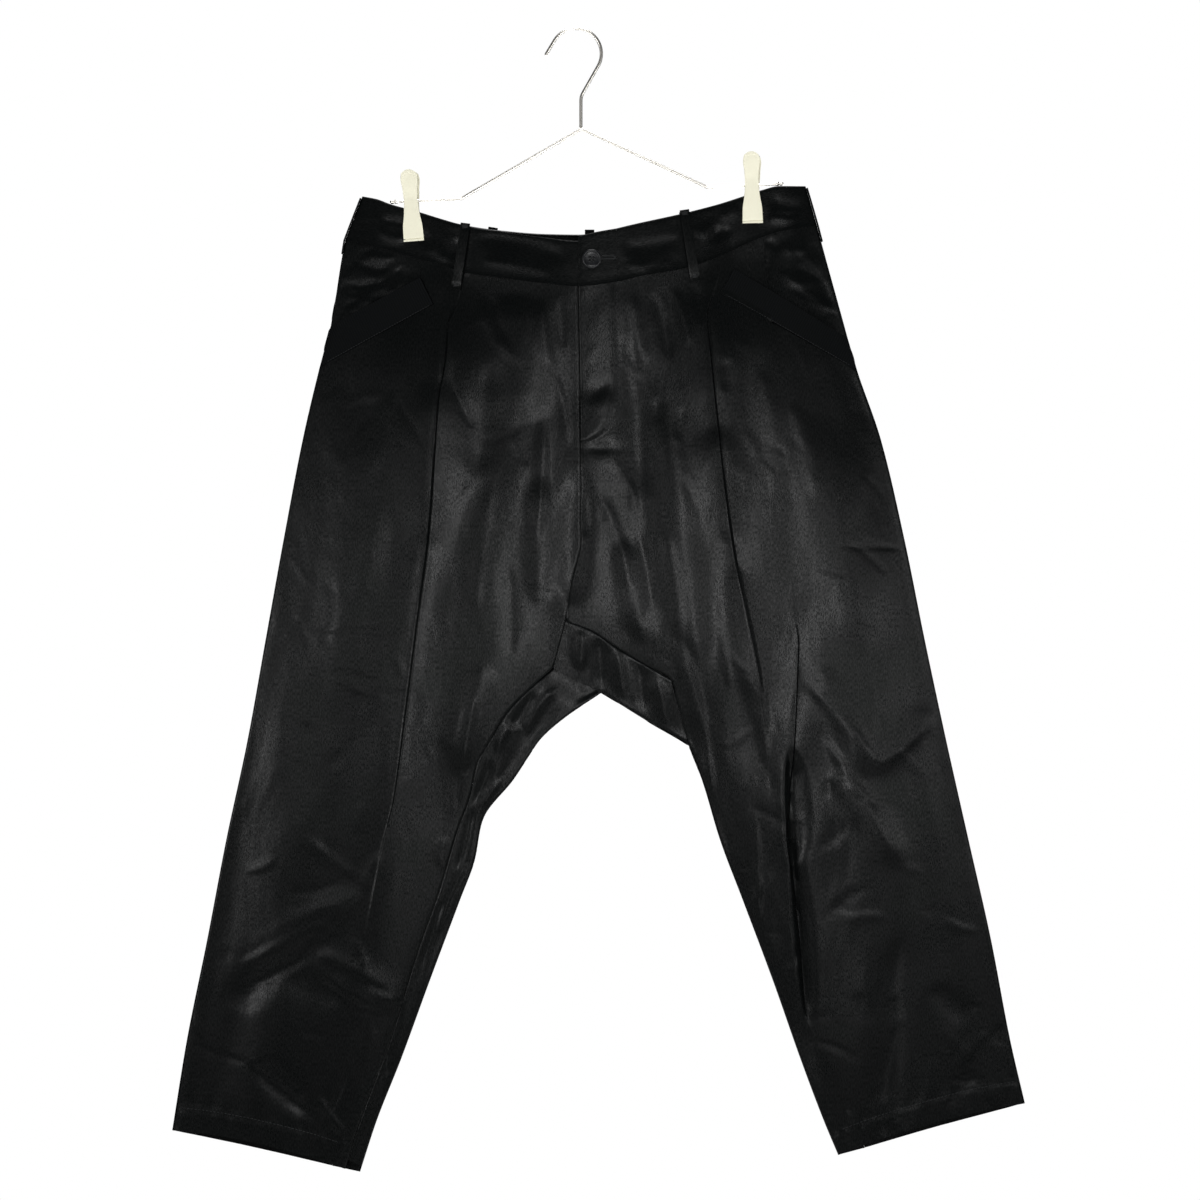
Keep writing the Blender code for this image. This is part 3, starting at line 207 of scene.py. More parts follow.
# Finer folds of the satin, same columns
FRONT_CREASES = [
    (-86, -243, -47, -300, 3, 0.9, 7, 4),       # right front, under the waist
    (-109, -313, -89, -357, 2, -0.6, 3, 3),
    (-57, -368, -42, -388, 1, -0.5, 2.5, 3),
    (-28, -345, -36, -458, -3, 1.5, 9, 3.2),
    (-18, -306, -7, -372, -2, 0.9, 5, 3),
    (-72, -400, -88, -520, 4, 0.8, 12, 6),
    (-62, -470, -58, -560, -3, -0.7, 8, 5),
    (-88, -585, -101, -672, 3, 1.2, 10, 4.5),
    (-240, -532, -143, -534, 1, -0.45, 2.0, 2.0),
    (-222, -569, -172, -581, -2, -0.5, 2.4, 2.0),
    (-217, -573, -180, -591, 1, 0.45, 3.0, 2.2),
    (-176, -590, -144, -587, 1, -0.45, 2.2, 2.2),
    (-242, -714, -192, -753, 2, 0.7, 6, 4),     # right leg, low
    (-171, -729, -190, -767, 2, 0.8, 5, 4),
    (-188, -763, -218, -797, 2, 0.8, 6, 5),
    (-214, -793, -238, -824, 2, 0.8, 6, 5),
    (-210, -781, -303, -829, 2, -1.2, 7, 5),
    (-235, -821, -298, -851, -2, -1.0, 6, 5),
    (-235, -821, -156, -858, 3, -1.4, 7, 5),
    (-232, -834, -170, -872, 2, 1.0, 5, 5),
    (-262, -846, -208, -864, -6, -1.6, 14, 14),
    (-292, -915, -228, -967, 3, -1.2, 7, 5),
    (-231, -943, -203, -981, 3, 0.9, 6, 4),
    (-242, -890, -221, -894, 0, -0.5, 2.2, 2.2),
    (-342, -900, -290, -917, 2, -0.5, 3, 2.5),
    (22, -412, 49, -500, -4, 1.0, 8, 3.5),      # left front
    (48, -400, 54, -432, 0, 0.7, 4, 2.5),
    (78, -440, 93, -545, -3, 1.3, 10, 4),
    (91, -540, 121, -690, -5, 1.3, 12, 5),
    (122, -496, 139, -592, 0, 0.5, 5, 3),
    (73, -326, 73, -352, 0, -0.6, 2.5, 2.5),
    (54, -440, 68, -520, -2, -0.8, 4, 3),
    (8, -412, 9, -452, 0, -1.1, 4, 4),
    (131, -292, 134, -322, 0, -1.0, 6, 6),
    (-118, -250, -121, -322, 0, 0.8, 7, 2.5),
    (-30, -240, -22, -300, 2, 0.8, 7, 4),       # gathers that run down from the waist seam
    (-74, -236, -66, -282, 1, -0.8, 5, 5),
    (-14, -238, -12, -286, 0, -0.6, 5, 4),
    (48, -236, 58, -300, -2, 0.8, 4, 7),
    (66, -232, 84, -296, -2, -0.9, 6, 5),
    (84, -228, 100, -284, -2, 0.9, 4, 6),
    (104, -222, 112, -262, 0, -0.7, 4, 4),
    (-160, -318, -176, -398, 2, 0.8, 9, 6),
    (160, -300, 176, -372, -2, 0.9, 7, 9),
    (190, -330, 214, -420, -3, 0.9, 7, 10),
    (142, -388, 143, -448, 0, -0.9, 8, 6),
    (226, -458, 293, -460, 1, -0.3, 2.4, 2.4),
    (198, -574, 270, -655, -3, 1.0, 7, 4),
    (266, -654, 312, -614, 3, 0.9, 5, 5),
    (216, -624, 281, -738, -4, 1.1, 6, 4.5),
    (225, -664, 225, -683, 0, -0.9, 2.6, 2.6),
    (228, -700, 228, -728, 0, -0.9, 2.6, 2.6),
    (230, -777, 242, -783, 0, -0.7, 3.5, 3.5),
    (291, -803, 281, -860, 3, -0.9, 5, 4),
    (281, -858, 287, -881, 0, -0.8, 4, 4),
    (287, -878, 274, -956, 2, -1.0, 5, 4),
    (350, -868, 359, -869, 0, -0.6, 3, 3),
    (367, -888, 338, -925, 2, 0.8, 5, 4),
    (160, -700, 163, -798, 0, 0.6, 4, 3),
    (143, -744, 158, -745, 0, -0.5, 2, 2),
    (165, -802, 187, -803, 0, -0.5, 2, 2),
    (330, -957, 356, -922, 0, -0.8, 5, 5),
    (140, -560, 180, -690, 5, -0.8, 12, 8),
]
BACK_CREASES = [
    (4, -300, -34, -372, 3, 0.9, 6, 4),
    (24, -310, 62, -380, -3, 0.9, 4, 6),
    (-60, -420, -96, -520, 3, 1.0, 9, 4),
    (88, -410, 120, -515, -3, 1.0, 4, 9),
    (-140, -470, -206, -560, 4, -0.8, 5, 5),
    (166, -470, 236, -556, -4, -0.8, 5, 5),
    (-100, -690, -232, -742, 5, 0.9, 8, 5),
    (150, -690, 292, -736, -5, 0.9, 5, 8),
    (-150, -800, -256, -836, 3, 0.8, 5, 4),
    (196, -806, 306, -838, -3, 0.8, 5, 4),
    (-230, -880, -190, -952, 3, 0.8, 6, 4),
    (262, -880, 236, -950, -3, 0.8, 6, 4),
    (-250, -600, -170, -604, 1, -0.45, 2.0, 2.0),
    (180, -560, 276, -562, 1, -0.45, 2.0, 2.0),
]

# Waistband stations: top edge x and height, lower edge x and height
BAND_RIGHT = [(-190, -148, -205, -187), (-177, -150.5, -191, -190), (-165, -155, -178, -193),
              (-141, -161.5, -151, -200), (-120, -168, -128, -206), (-92, -176, -100, -216),
              (-62, -181, -68, -221),
              (-27, -186, -30, -226), (2, -189, 2, -229), (33, -187, 33, -222)]
BAND_LEFT = [(36, -178, 36, -225), (52, -174, 57, -220), (95, -164, 99, -212),
             (119, -157.5, 124, -203), (147, -148.5, 149, -190), (167, -142, 179, -177),
             (180, -139, 193, -176), (192, -139, 204, -174.5), (204, -139, 214, -174)]
BAND_FLY_END = [(2, -185, 2, -229), (19, -181, 19, -227), (36, -178, 36, -225)]
# The back band ends as the front ones do
BAND_BACK = [*BAND_RIGHT[:5], (-96, -173.5, -100, -216), (-64, -177.5, -68, -221),
             (-28, -180, -30, -226), (2, -180.5, 2, -229), (32, -177, 36, -225),
             (54, -172.5, 57, -220), (95, -163, 99, -212), (119, -157, 124, -203), *BAND_LEFT[4:]]

# Belt loops. Columns: node, layer, top x and height, lower end x and height
BELT_LOOPS = [
    ("belt_loop_front_right", "front", -98, -172.5, -107, -231),
    ("belt_loop_front_left", "front", 96, -161, 106, -224),
    ("belt_loop_back_right", "back", -74, -174.5, -82, -231),
    ("belt_loop_back_centre", "back", 12, -176, 12, -238),
    ("belt_loop_back_left", "back", 96, -160.5, 106, -222),
]
# Side loops stand on the side seams. Columns: node, seam, way out, top, lower end
SIDE_LOOPS = [
    ("belt_loop_side_right", SIDE_RIGHT, -1, -149.5, -199),
    ("belt_loop_side_left", SIDE_LEFT, 1, -140.5, -188),
]
LOOP_WIDTH = 8.5
LOOP_BOW = 1.2
LOOP_LIFT = 2.3         # outer face of a loop over the cloth

BUTTON_AT = (14, -205)
BUTTON_THICKNESS = 3.0
BUTTON_HOLE_SPREAD = 1.9
BUTTON_HOLE_RADIUS = 1.05
BUTTON_TURN = 0.43      # of a quarter turn, from the level to the first hole
# Columns: radius, distance from the back face
BUTTON_PROFILE = [(0.0, 0.0), (6.0, 0.0), (7.6, 0.4), (8.3, 1.0), (8.6, 1.6), (8.5, 2.2), (8.1, 2.7),
                  (7.5, 3.0), (6.9, 2.9), (6.4, 2.5), (6.1, 2.05), (5.7, 1.9), (3.6, 1.7), (0.0, 1.7)]
BUTTON_THREAD_LEVEL = 1.75      # of the thread that holds it, from its back face
# Slit of the buttonhole: from x, to x, height, half width of its whipped edge
BUTTONHOLE = (21.0, 33.5, -203.6, 1.3)
STITCH = 2.6            # pitch of the stitches
HEM_STITCH = 3.4
WHIP_STITCH = 0.62
STITCH_SHARE = 0.78     # of its pitch that a stitch shows

# Hanger, as its solids have it. The hook's arc is in degrees, from its tip side to the shank side
WIRE_RADIUS = 1.45
HOOK_RADIUS = 22.5
HOOK_FROM = 149.0
HOOK_TO = -29.5
HOOK_TIP = 14.5
HOOK_SHANK = 31.0
NECK_BEND = 14.0
NECK_LOW = -86.6
FRAME_ROUTE = [(-165, -152.8), (-102, -150), (5, -88), (117, -140), (184, -136.3)]
FRAME_BENDS = [0, 9, 4, 9, 0]
# Crimped ends of the bars: distances from the end, and shares of the wire's radius there
CRIMP_STEPS = (0.0, 0.7, 2.4, 3.6, 4.4, 5.6, 7.2, 8.6)
CRIMP_WIDTHS = (0.6, 1.35, 1.4, 1.0, 1.35, 1.4, 1.05, 1.0)

# Clips. Columns: side, middle of the top x and height, middle of the lower end x and height
CLIPS = [("right", -149, -124.5, -144, -188), ("left", 155.5, -108.5, 157, -172)]
CLIP_PLATE = 0.9
CLIP_ARCH = 3.4         # how far the top's corners lie below its middle
# Columns: depth, place as a share of the height from the top, width as such a share
FOOT_GROOVE = (0.9, 0.968, 0.005)
TOP_LIP = (0.35, 0.035, 0.02)
JAW_SLIP = 1.6          # of the back jaw, beside the front one
# Columns: share of the height from the top, half width, distance of the plate's outer face from
# the middle plane, how far its long edges are turned in
CLIP_PROFILE = [(0.0, 6.6, 8.0, 1.6), (0.05, 7.3, 7.8, 1.8), (0.1, 7.5, 7.4, 2.0),
                (0.27, 6.5, 5.8, 2.0), (0.42, 6.1, 4.5, 1.1), (0.60, 6.8, 4.35, 1.05),
                (0.80, 8.7, 4.3, 1.02), (1.0, 9.1, 4.3, 1.0)]
SPRING_RADIUS = 2.4
SPRING_WIRE = 0.5
SPRING_TURNS = 3
SPRING_PITCH = 1.4


def linear(code):
    """Linear colour of an sRGB hex code."""
    shares = [int(code[k:k + 2], 16) / 255 for k in (0, 2, 4)]
    return tuple(c / 12.92 if c <= 0.04045 else ((c + 0.055) / 1.055) ** 2.4 for c in shares)


def smooth(t):
    """Soft step from 0 to 1."""
    t = np.clip(t, 0.0, 1.0)
    return t * t * (3.0 - 2.0 * t)


def curve_on(table, key, column):
    """Value from a table by a smooth curve through its rows that never overshoots them."""
    rows = sorted(table, key=lambda row: row[0])
    keys = np.array([row[0] for row in rows], float)
    values = np.array([row[column] for row in rows], float)
    runs = np.diff(keys)
    slopes = np.diff(values) / runs
    rising = slopes[:-1] * slopes[1:] > 0.0
    product = np.where(rising, slopes[:-1] * slopes[1:], 0.0)
    total = np.where(rising, slopes[:-1] + slopes[1:], 1.0)
    tangents = np.concatenate([slopes[:1], 2.0 * product / total, slopes[-1:]])
    key = np.clip(key, keys[0], keys[-1])
    step = np.clip(np.searchsorted(keys, key) - 1, 0, len(keys) - 2)
    run, share = runs[step], (key - keys[step]) / runs[step]
    bend = share * (1.0 - share) * run
    return (values[step] + (values[step + 1] - values[step]) * smooth(share)
            + bend * ((1.0 - share) * tangents[step] - share * tangents[step + 1]))


def drawn(line, step=4.0):
    """Close points (x, z) along the smooth curve through the points of a line that runs down."""
    count = max(2, round(abs(line[-1][1] - line[0][1]) / step))
    heights = np.linspace(line[0][1], line[-1][1], count)
    across = curve_on([(z, x) for x, z in line], heights, 1)
    return [(float(x), float(z)) for x, z in zip(across, heights)]


def x_on(line, z):
    """Place across of a seam line at a height."""
    return np.interp(-np.asarray(z, float), [-row[1] for row in line], [row[0] for row in line])


def z_on(line, x):
    """Height of a line that runs across, at a place."""
    return np.interp(x, [row[0] for row in line], [row[1] for row in line])


def waist_seam(x):
    """Height of the waist seam at a place across."""
    return curve_on(WAIST_SEAM, x, 1)


def distance_to(line, x, z):
    """Shortest distance from points to a line of straight runs."""
    nearest = np.full(np.shape(x), np.inf)
    for (x0, z0), (x1, z1) in zip(line, line[1:]):
        run_x, run_z = x1 - x0, z1 - z0
        share = ((x - x0) * run_x + (z - z0) * run_z) / (run_x ** 2 + run_z ** 2)
        share = np.clip(share, 0.0, 1.0)
        nearest = np.minimum(nearest, np.hypot(x - x0 - share * run_x, z - z0 - share * run_z))
    return nearest


SIDE_RIGHT_DRAWN = drawn(SIDE_RIGHT)
SIDE_LEFT_DRAWN = drawn(SIDE_LEFT)
INNER_RIGHT_DRAWN = drawn(INNER_FOLD_RIGHT)
INNER_LEFT_DRAWN = drawn(INNER_FOLD_LEFT)
FOLDED_EDGES = (SIDE_RIGHT_DRAWN, SIDE_LEFT_DRAWN, INNER_RIGHT_DRAWN, INNER_LEFT_DRAWN)
PLEAT_RIGHT_DRAWN, PLEAT_LEFT_DRAWN, LEG_FOLD_DRAWN = (
    drawn([row[:2] for row in table]) for table in (PLEAT_RIGHT, PLEAT_LEFT, LEG_FOLD))
# Columns: table, drawn line, way to the side that lies on top
PLEATS = ((PLEAT_RIGHT, PLEAT_RIGHT_DRAWN, 1), (PLEAT_LEFT, PLEAT_LEFT_DRAWN, -1),
          (LEG_FOLD, LEG_FOLD_DRAWN, -1))


def edge_distance(x, z):
    """Distance from the nearest folded edge of the garment."""
    return np.minimum.reduce([distance_to(line, x, z) for line in FOLDED_EDGES])


def fade(x, z, width):
    """Share of a relief that is left near the folded edges: none on them, all of it from width on."""
    return smooth(edge_distance(x, z) / width)


def pleat(table, line, inward, x, z):
    """Relief of a pleat: a lapped fold on the centre side, and the cloth that runs up under it."""
    rise, width = (curve_on([(row[1], row[column]) for row in table], z, 1) for column in (2, 3))
    across = inward * (x - x_on(line, z))
    riser = smooth(across / width + 0.75)
    over, below = np.maximum(across, 0.0), np.maximum(-across, 0.0)
    lapped = rise * (PLEAT_OVER_SHARES[0] * np.exp(-over / PLEAT_RUN)
                     + PLEAT_OVER_SHARES[1] * np.exp(-over / PLEAT_LIP))
    tucked = rise * (PLEAT_UNDER_SHARES[0] * np.exp(-below / PLEAT_SHADE)
                     + PLEAT_UNDER_SHARES[1] * np.exp(-below / PLEAT_LIP))
    return riser * lapped + (1.0 - riser) * tucked


def folds(table, x, z):
    """Relief of soft ridges and troughs along bowed lines, tapered at both ends."""
    relief = np.zeros(np.shape(x))
    for x0, z0, x1, z1, bow, rise, left, right in table:
        run_x, run_z = x1 - x0, z1 - z0
        length = math.hypot(run_x, run_z)
        share = ((x - x0) * run_x + (z - z0) * run_z) / length ** 2
        across = ((z - z0) * run_x - (x - x0) * run_z) / length
        middle = np.clip(4.0 * share * (1.0 - share), 0.0, 1.0)
        across = across + bow * middle
        width = np.where(across < 0.0, left, right) * (0.45 + 0.55 * middle)
        relief += rise * smooth(middle * 1.35) * np.exp(-(across / width) ** 2)
    return relief


LOW_LEG = (-620.0, 180.0)       # height under which the legs are more crumpled, and the run to it


def crinkles(seed, count, box):
    """Rows of small random creases over a box, in the columns of a fold table."""
    chance = np.random.default_rng(seed)
    x_low, x_high, z_low, z_high = box
    rows = []
    for _ in range(count):
        x, z = chance.uniform(x_low, x_high), chance.uniform(z_low, z_high)
        length = chance.uniform(14.0, 62.0)
        turn = chance.normal(0.35 if x > 20 else -0.35, 0.75)
        bow, rise = chance.uniform(-5.0, 5.0), chance.choice((-1, 1)) * chance.uniform(0.15, 0.5)
        rise *= 0.7 + 0.9 * float(smooth((LOW_LEG[0] - z) / LOW_LEG[1]))
        rows.append((x, z, x + length * math.sin(turn), z - length * math.cos(turn), bow, rise,
                     chance.uniform(2.0, 7.0), chance.uniform(2.0, 5.0)))
    return rows


def drape(seed, x, z):
    """Slow unevenness of hanging cloth, stretched along the height."""
    chance = np.random.default_rng(seed)
    relief = np.zeros(np.shape(x))
    for _ in range(30):
        wave = chance.uniform(22.0, 110.0)
        turn = chance.normal(0.0, 0.45)
        phase = chance.uniform(0.0, math.tau)
        along = (x * math.cos(turn) + z * math.sin(turn) * 0.5) * math.tau / wave
        relief += 0.0017 * wave * np.sin(along + phase)
    return relief


FINE_FOLDS = {
    "front": FRONT_CREASES + crinkles(5, 260, (-360, 400, -1000, -250)),
    "back": BACK_CREASES + crinkles(6, 220, (-360, 400, -1000, -240)),
}


def half_depth(layer, x, z):
    """Distance of a layer's outer face from the garment's middle plane."""
    x, z = np.asarray(x, float), np.asarray(z, float)
    front = layer == "front"
    column = 1 if front else 2
    edge = edge_distance(x, z)
    inside = np.minimum(edge, EDGE_RADIUS)
    rounded = np.sqrt(inside * (2.0 * EDGE_RADIUS - inside))
    below_seam = waist_seam(x) - z
    body, waist = curve_on(BODY_DEPTH, z, column), curve_on(WAIST_DEPTH, x, column)
    plateau = waist + (body - waist) * smooth(below_seam / WAIST_BLEND)
    relief = folds(FRONT_FOLDS if front else BACK_FOLDS, x, z)
    for table, line, inward in PLEATS if front else ():
        relief += pleat(table, line, inward, x, z)
    relief *= smooth(edge / FOLD_FADE)
    fine = folds(FINE_FOLDS[layer], x, z) + drape(3 if front else 4, x, z)
    relief += fine * smooth(edge / FINE_FADE)
    relief *= smooth(below_seam / SEAM_FADE)
    if front:
        swell = SEAM_SWELL * np.exp(-np.maximum(below_seam, 0.0) / SEAM_SWELL_RUN)
        relief += swell * smooth(waist / CLIP_FADE) * smooth(edge / SWELL_FADE)
    ramp = EDGE_RAMP * smooth(edge / EDGE_RAMP_RUN)
    return rounded + ramp + smooth(edge / EDGE_WIDTH) * plateau + relief


def split(grid):
    """The places across and the heights of a grid of places (x, z)."""
    return grid[..., 0], grid[..., 1]


def lay(layer, x, z, lift=0.0):
    """Points of a layer over places (x, z), moved out by lift and clear of the middle plane."""
    lift = lift * fade(x, z, LIFT_FADE)
    depth = np.maximum(half_depth(layer, x, z) + lift, SEAM_GAP / 2)
    side = -1 if layer == "front" else 1
    return np.stack([x, side * depth, z], axis=-1)


def facing(points):
    """Way out of the garment for each point: -1 in front of the middle plane, 1 behind it."""
    return np.where(points[..., 1] < 0.0, -1.0, 1.0)


def raised(points, lift):
    """Points moved out of the garment by lift."""
    out = points.copy()
    out[..., 1] += facing(points) * lift
    return out


def curl(distance, run):
    """Share by which a rolled edge turns in: all of it on the edge, none from run on."""
    return np.clip(1.0 - distance / run, 0.0, 1.0) ** 2


def directions(points, axis):
    """Unit tangents of a grid along one axis, each the mean of its two neighbouring runs."""
    runs = np.diff(points, axis=axis)
    runs /= np.maximum(np.linalg.norm(runs, axis=-1, keepdims=True), 1e-9)
    first = np.take(runs, [0], axis=axis)
    last = np.take(runs, [-1], axis=axis)
    return np.concatenate([first, runs], axis=axis) + np.concatenate([runs, last], axis=axis)


def run_lengths(points, axis):
    """Distance along the rows or columns of a grid from its first edge."""
    runs = np.linalg.norm(np.diff(points, axis=axis), axis=-1)
    zero = np.zeros_like(np.take(runs, [0], axis=axis))
    return np.concatenate([zero, np.cumsum(runs, axis=axis)], axis=axis)


def rolled(points, sides):
    """A layer's points with its sewn edges rolled in. sides names some of top, low, first, last."""
    across, down = run_lengths(points, 1), run_lengths(points, 0)
    reach = {"first": across, "last": across[:, -1:] - across, "top": down, "low": down[-1:] - down}
    near = np.minimum.reduce([reach[side] for side in sides])
    side = facing(points)
    out = points.copy()
    out[..., 1] = side * np.maximum(side * points[..., 1] - SEAM_TURN * curl(near, SEAM_RUN),
                                    SEAM_GAP / 2)
    return out


def mesh_object(name, vertices, faces, finish, smooth_angle=40.0):
    """One named object from vertices in millimetres and faces."""
    mesh = bpy.data.meshes.new(name)
    mesh.from_pydata((np.asarray(vertices, float) * MM).tolist(), [], faces)
    shape = bmesh.new()
    shape.from_mesh(mesh)
    bmesh.ops.recalc_face_normals(shape, faces=shape.faces)
    shape.to_mesh(mesh)
    shape.free()
    mesh.shade_smooth()
    mesh.set_sharp_from_angle(angle=math.radians(smooth_angle))
    mesh.materials.append(finish)
    made = bpy.data.objects.new(name, mesh)
    bpy.context.scene.collection.objects.link(made)
    return made


def wall(name, outer, thickness, finish, outward, strip=False):
    """Closed shell of cloth: a grid of outer points, the same grid moved in, and the rim between.

    outward is +1 where the grid's own normal points out, -1 where it points in. The piece gets a
    UV map in metres, which its weave follows: upright, or along the rows and columns of a strip.
    """
    rows, columns = outer.shape[:2]
    down, across = directions(outer, 0), directions(outer, 1)
    normal = outward * np.cross(down, across)
    normal /= np.maximum(np.linalg.norm(normal, axis=-1, keepdims=True), 1e-9)
    inner = outer - normal * np.broadcast_to(thickness, (rows, columns))[..., None]
    side = facing(outer)
    inner[..., 1] = side * np.maximum(side * inner[..., 1], SEAM_GAP / 4)
    count = rows * columns
    index = np.arange(count).reshape(rows, columns)
    cells = np.stack([index[:-1, :-1], index[:-1, 1:], index[1:, 1:], index[1:, :-1]], axis=-1)
    cells = cells.reshape(-1, 4)
    border = np.concatenate([index[0, :-1], index[:-1, -1], index[-1, :0:-1], index[:0:-1, 0]])
    after = np.roll(border, -1)
    rim = np.stack([after, border, border + count, after + count], axis=-1)
    faces = np.concatenate([cells, (cells + count)[:, ::-1], rim]).tolist()
    vertices = np.concatenate([outer.reshape(-1, 3), inner.reshape(-1, 3)])
    made = mesh_object(name, vertices, faces, finish)
    places = outer[..., (0, 2)]
    if strip:
        places = np.stack([run_lengths(outer, 1), -run_lengths(outer, 0)], axis=-1)
    places = places.reshape(-1, 2) * MM
    corners = np.empty(len(made.data.loops), int)
    made.data.loops.foreach_get("vertex_index", corners)
    made.data.uv_layers.new(name="weave").data.foreach_set("uv", places[corners % count].ravel())
    return made


def spread(start, end, near_start, parts, near_end):
    """Stations between two lines: close ones by each line and even ones between."""
    length = end - start
    reach = max(max(near_start, default=0.0), max(near_end, default=0.0), 1e-6)
    shrink = min(1.0, 0.35 * length / reach)
    even = np.linspace(start + shrink * max(near_start, default=0.0),
                       end - shrink * max(near_end, default=0.0), parts + 1)[1:-1]
    first = [start + shrink * step for step in near_start]
    last = [end - shrink * step for step in reversed(near_end)]
    return [*first, *even, *last]


def denser(table, step):
    """Rows of a table with more rows between them, none further apart than step."""
    rows = []
    for row, following in zip(table, table[1:]):
        row, following = np.array(row, float), np.array(following, float)
        count = max(1, math.ceil(np.abs(following - row).max() / step))
        rows += [row + (following - row) * k / count for k in range(count)]
    return np.array([*rows, table[-1]], float)


def crossing(line, start, end):
    """Distance from start, along the straight row to end, at which the row meets a line."""
    share = 0.5
    for _ in range(8):
        height = start[1] + (end[1] - start[1]) * share
        share = (x_on(line, height) - start[0]) / (end[0] - start[0])
    return share * math.dist(start, end)


def panel_grid(left, right, heights, guides, spans, gaps=(0.0, 0.0), rise=0.0, waisted=True):
    """Places (x, z) of a panel between two seam lines, in rows across it.

    heights pairs each row's height on the left line with that on the right line. guides are
    lines that columns follow, and spans say how the stations lie between them. The first row
    follows the waist seam where waisted is set, and the last rows arch up by rise.
    """
    rows = denser(heights, CELL)
    rows = np.array([rows[0], rows[0] + (rows[1] - rows[0]) * 0.4, *rows[1:-1],
                     rows[-1] - (rows[-1] - rows[-2]) * 0.3, rows[-1]])
    top_left, top_right = float(x_on(left, rows[0][0])), float(x_on(right, rows[0][1]))
    grid = []
    for number, (z_left, z_right) in enumerate(rows):
        start = (float(x_on(left, z_left)), z_left)
        end = (float(x_on(right, z_right)), z_right)
        length = math.dist(start, end)
        lines = [gaps[0], *(crossing(guide, start, end) for guide in guides), length - gaps[1]]
        stations = []
        for k, (near_start, parts, near_end) in enumerate(spans):
            stations += spread(lines[k], lines[k + 1], near_start, parts, near_end)
        share = np.array(stations) / length
        x = start[0] + (end[0] - start[0]) * share
        z = start[1] + (end[1] - start[1]) * share
        hem = smooth((number / (len(rows) - 1) - 0.85) / 0.15)
        z = z + rise * hem * 4.0 * share * (1.0 - share)
        if waisted:
            dip = waist_seam(top_left + (top_right - top_left) * share)
            dip -= rows[0][0] + (rows[0][1] - rows[0][0]) * share
            z += dip * (1.0 - smooth((rows[0].mean() - rows[number].mean()) / DIP_FADE))
        grid.append(np.stack([x, z], axis=-1))
    grid = np.array(grid)
    run = grid[1] - grid[0]
    grid[0] += run / np.linalg.norm(run, axis=-1, keepdims=True) * SEAM_GAP
    return grid


def hem_thickness(grid):
    """Thickness of the shell over a panel that ends in a turned-up hem."""
    above = np.linalg.norm(grid - grid[-1], axis=-1)
    return CLOTH + HEM * smooth((HEM_HEIGHT + 1.0 - above) / 1.5)


def hem_relief(grid, points):
    """Points of a panel with its hem a little proud, and puckered along the stitching."""
    x, z = split(grid)
    above = np.linalg.norm(grid - grid[-1], axis=-1)
    proud = HEM_PROUD * smooth((HEM_HEIGHT + 1.0 - above) / 1.5)
    groove = HEM_PROUD * np.exp(-((above - HEM_STITCHING) / 1.3) ** 2)
    pucker = HEM_PROUD * drape(12, x * 5.0, z * 2.0) * np.exp(-((above - HEM_HEIGHT) / 8.0) ** 2)
    return raised(points, (proud - groove + pucker) * fade(x, z, LIFT_FADE))


def dimple(x, z, place, half_width, half_height, slant=0.0):
    """A soft hollow at a place (x, height, depth), slanted by its rise over its run."""
    middle_x, middle_z, depth = place
    up = z - middle_z - slant * (x - middle_x)
    return depth * np.exp(-((x - middle_x) / half_width) ** 2 - (up / half_height) ** 2)


def lap(x, z):
    """How far the lapped left front stands proud along the fly, puffed inside its stitching."""
    along = smooth((z - FLY_END) / 60.0)
    turn = np.clip((FLY_TURN - z) / (FLY_TURN - FLY_END), 0.0, 1.0)
    inside = x_on(CENTRE_FRONT, z) + FLY_WIDTH * np.sqrt(1.0 - turn ** 2) - x
    lapped = FLY_LIFT * along * (1.0 - smooth((x - CENTRE_FRONT[0][0]) / LAP_RUN))
    puffed = np.where(z > FLY_END, smooth(inside / 9.0), 0.0)
    puffed *= FLY_PUFF + FLY_PUFF_LOW * smooth((FLY_TURN + 14.0 - z) / 20.0)
    groove = FLY_GROOVE * np.exp(-(inside / 1.8) ** 2) * (z > FLY_END)
    return (lapped + puffed - dimple(x, z, FLY_DENT, 11.0, 8.0, 0.5) - groove
            - dimple(x, z, FLY_FOOT, 16.0, 5.0))


def node(tree, kind, inputs=None, links=None, **settings):
    """Adds a node, sets its properties and its inputs, and links what feeds it."""
    made = tree.nodes.new(kind)
    for key, value in settings.items():
        setattr(made, key, value)
    for key, value in (inputs or {}).items():
        made.inputs[key].default_value = value
    for key, source in (links or {}).items():
        tree.links.new(source, made.inputs[key])
    return made


def finish_of(name, **values):
    """A material with its shader's own sockets set. Returns the material, its tree and shader."""
    made = bpy.data.materials.new(name)
    made.use_nodes = True
    shader = made.node_tree.nodes["Principled BSDF"]
    for key, value in values.items():
        shader.inputs[key.replace("_", " ")].default_value = value
    return made, made.node_tree, shader


THREAD_PITCH = 1.0      # the satin's threads, three of the real ones, or none would show
GLOSS_PATCH = 55.0      # patches where the satin is pressed smoother or less so
CRUMPLE = 13.0          # its smallest crumples, too fine for the mesh
TAPE_RIB = 1.1
# Scales of the two patterns across and along the cloth; under 1 along it draws them out
SLUB_SQUEEZE = (1.0, 0.35, 1.0)
CRUMPLE_SQUEEZE = (1.0, 0.45, 1.0)


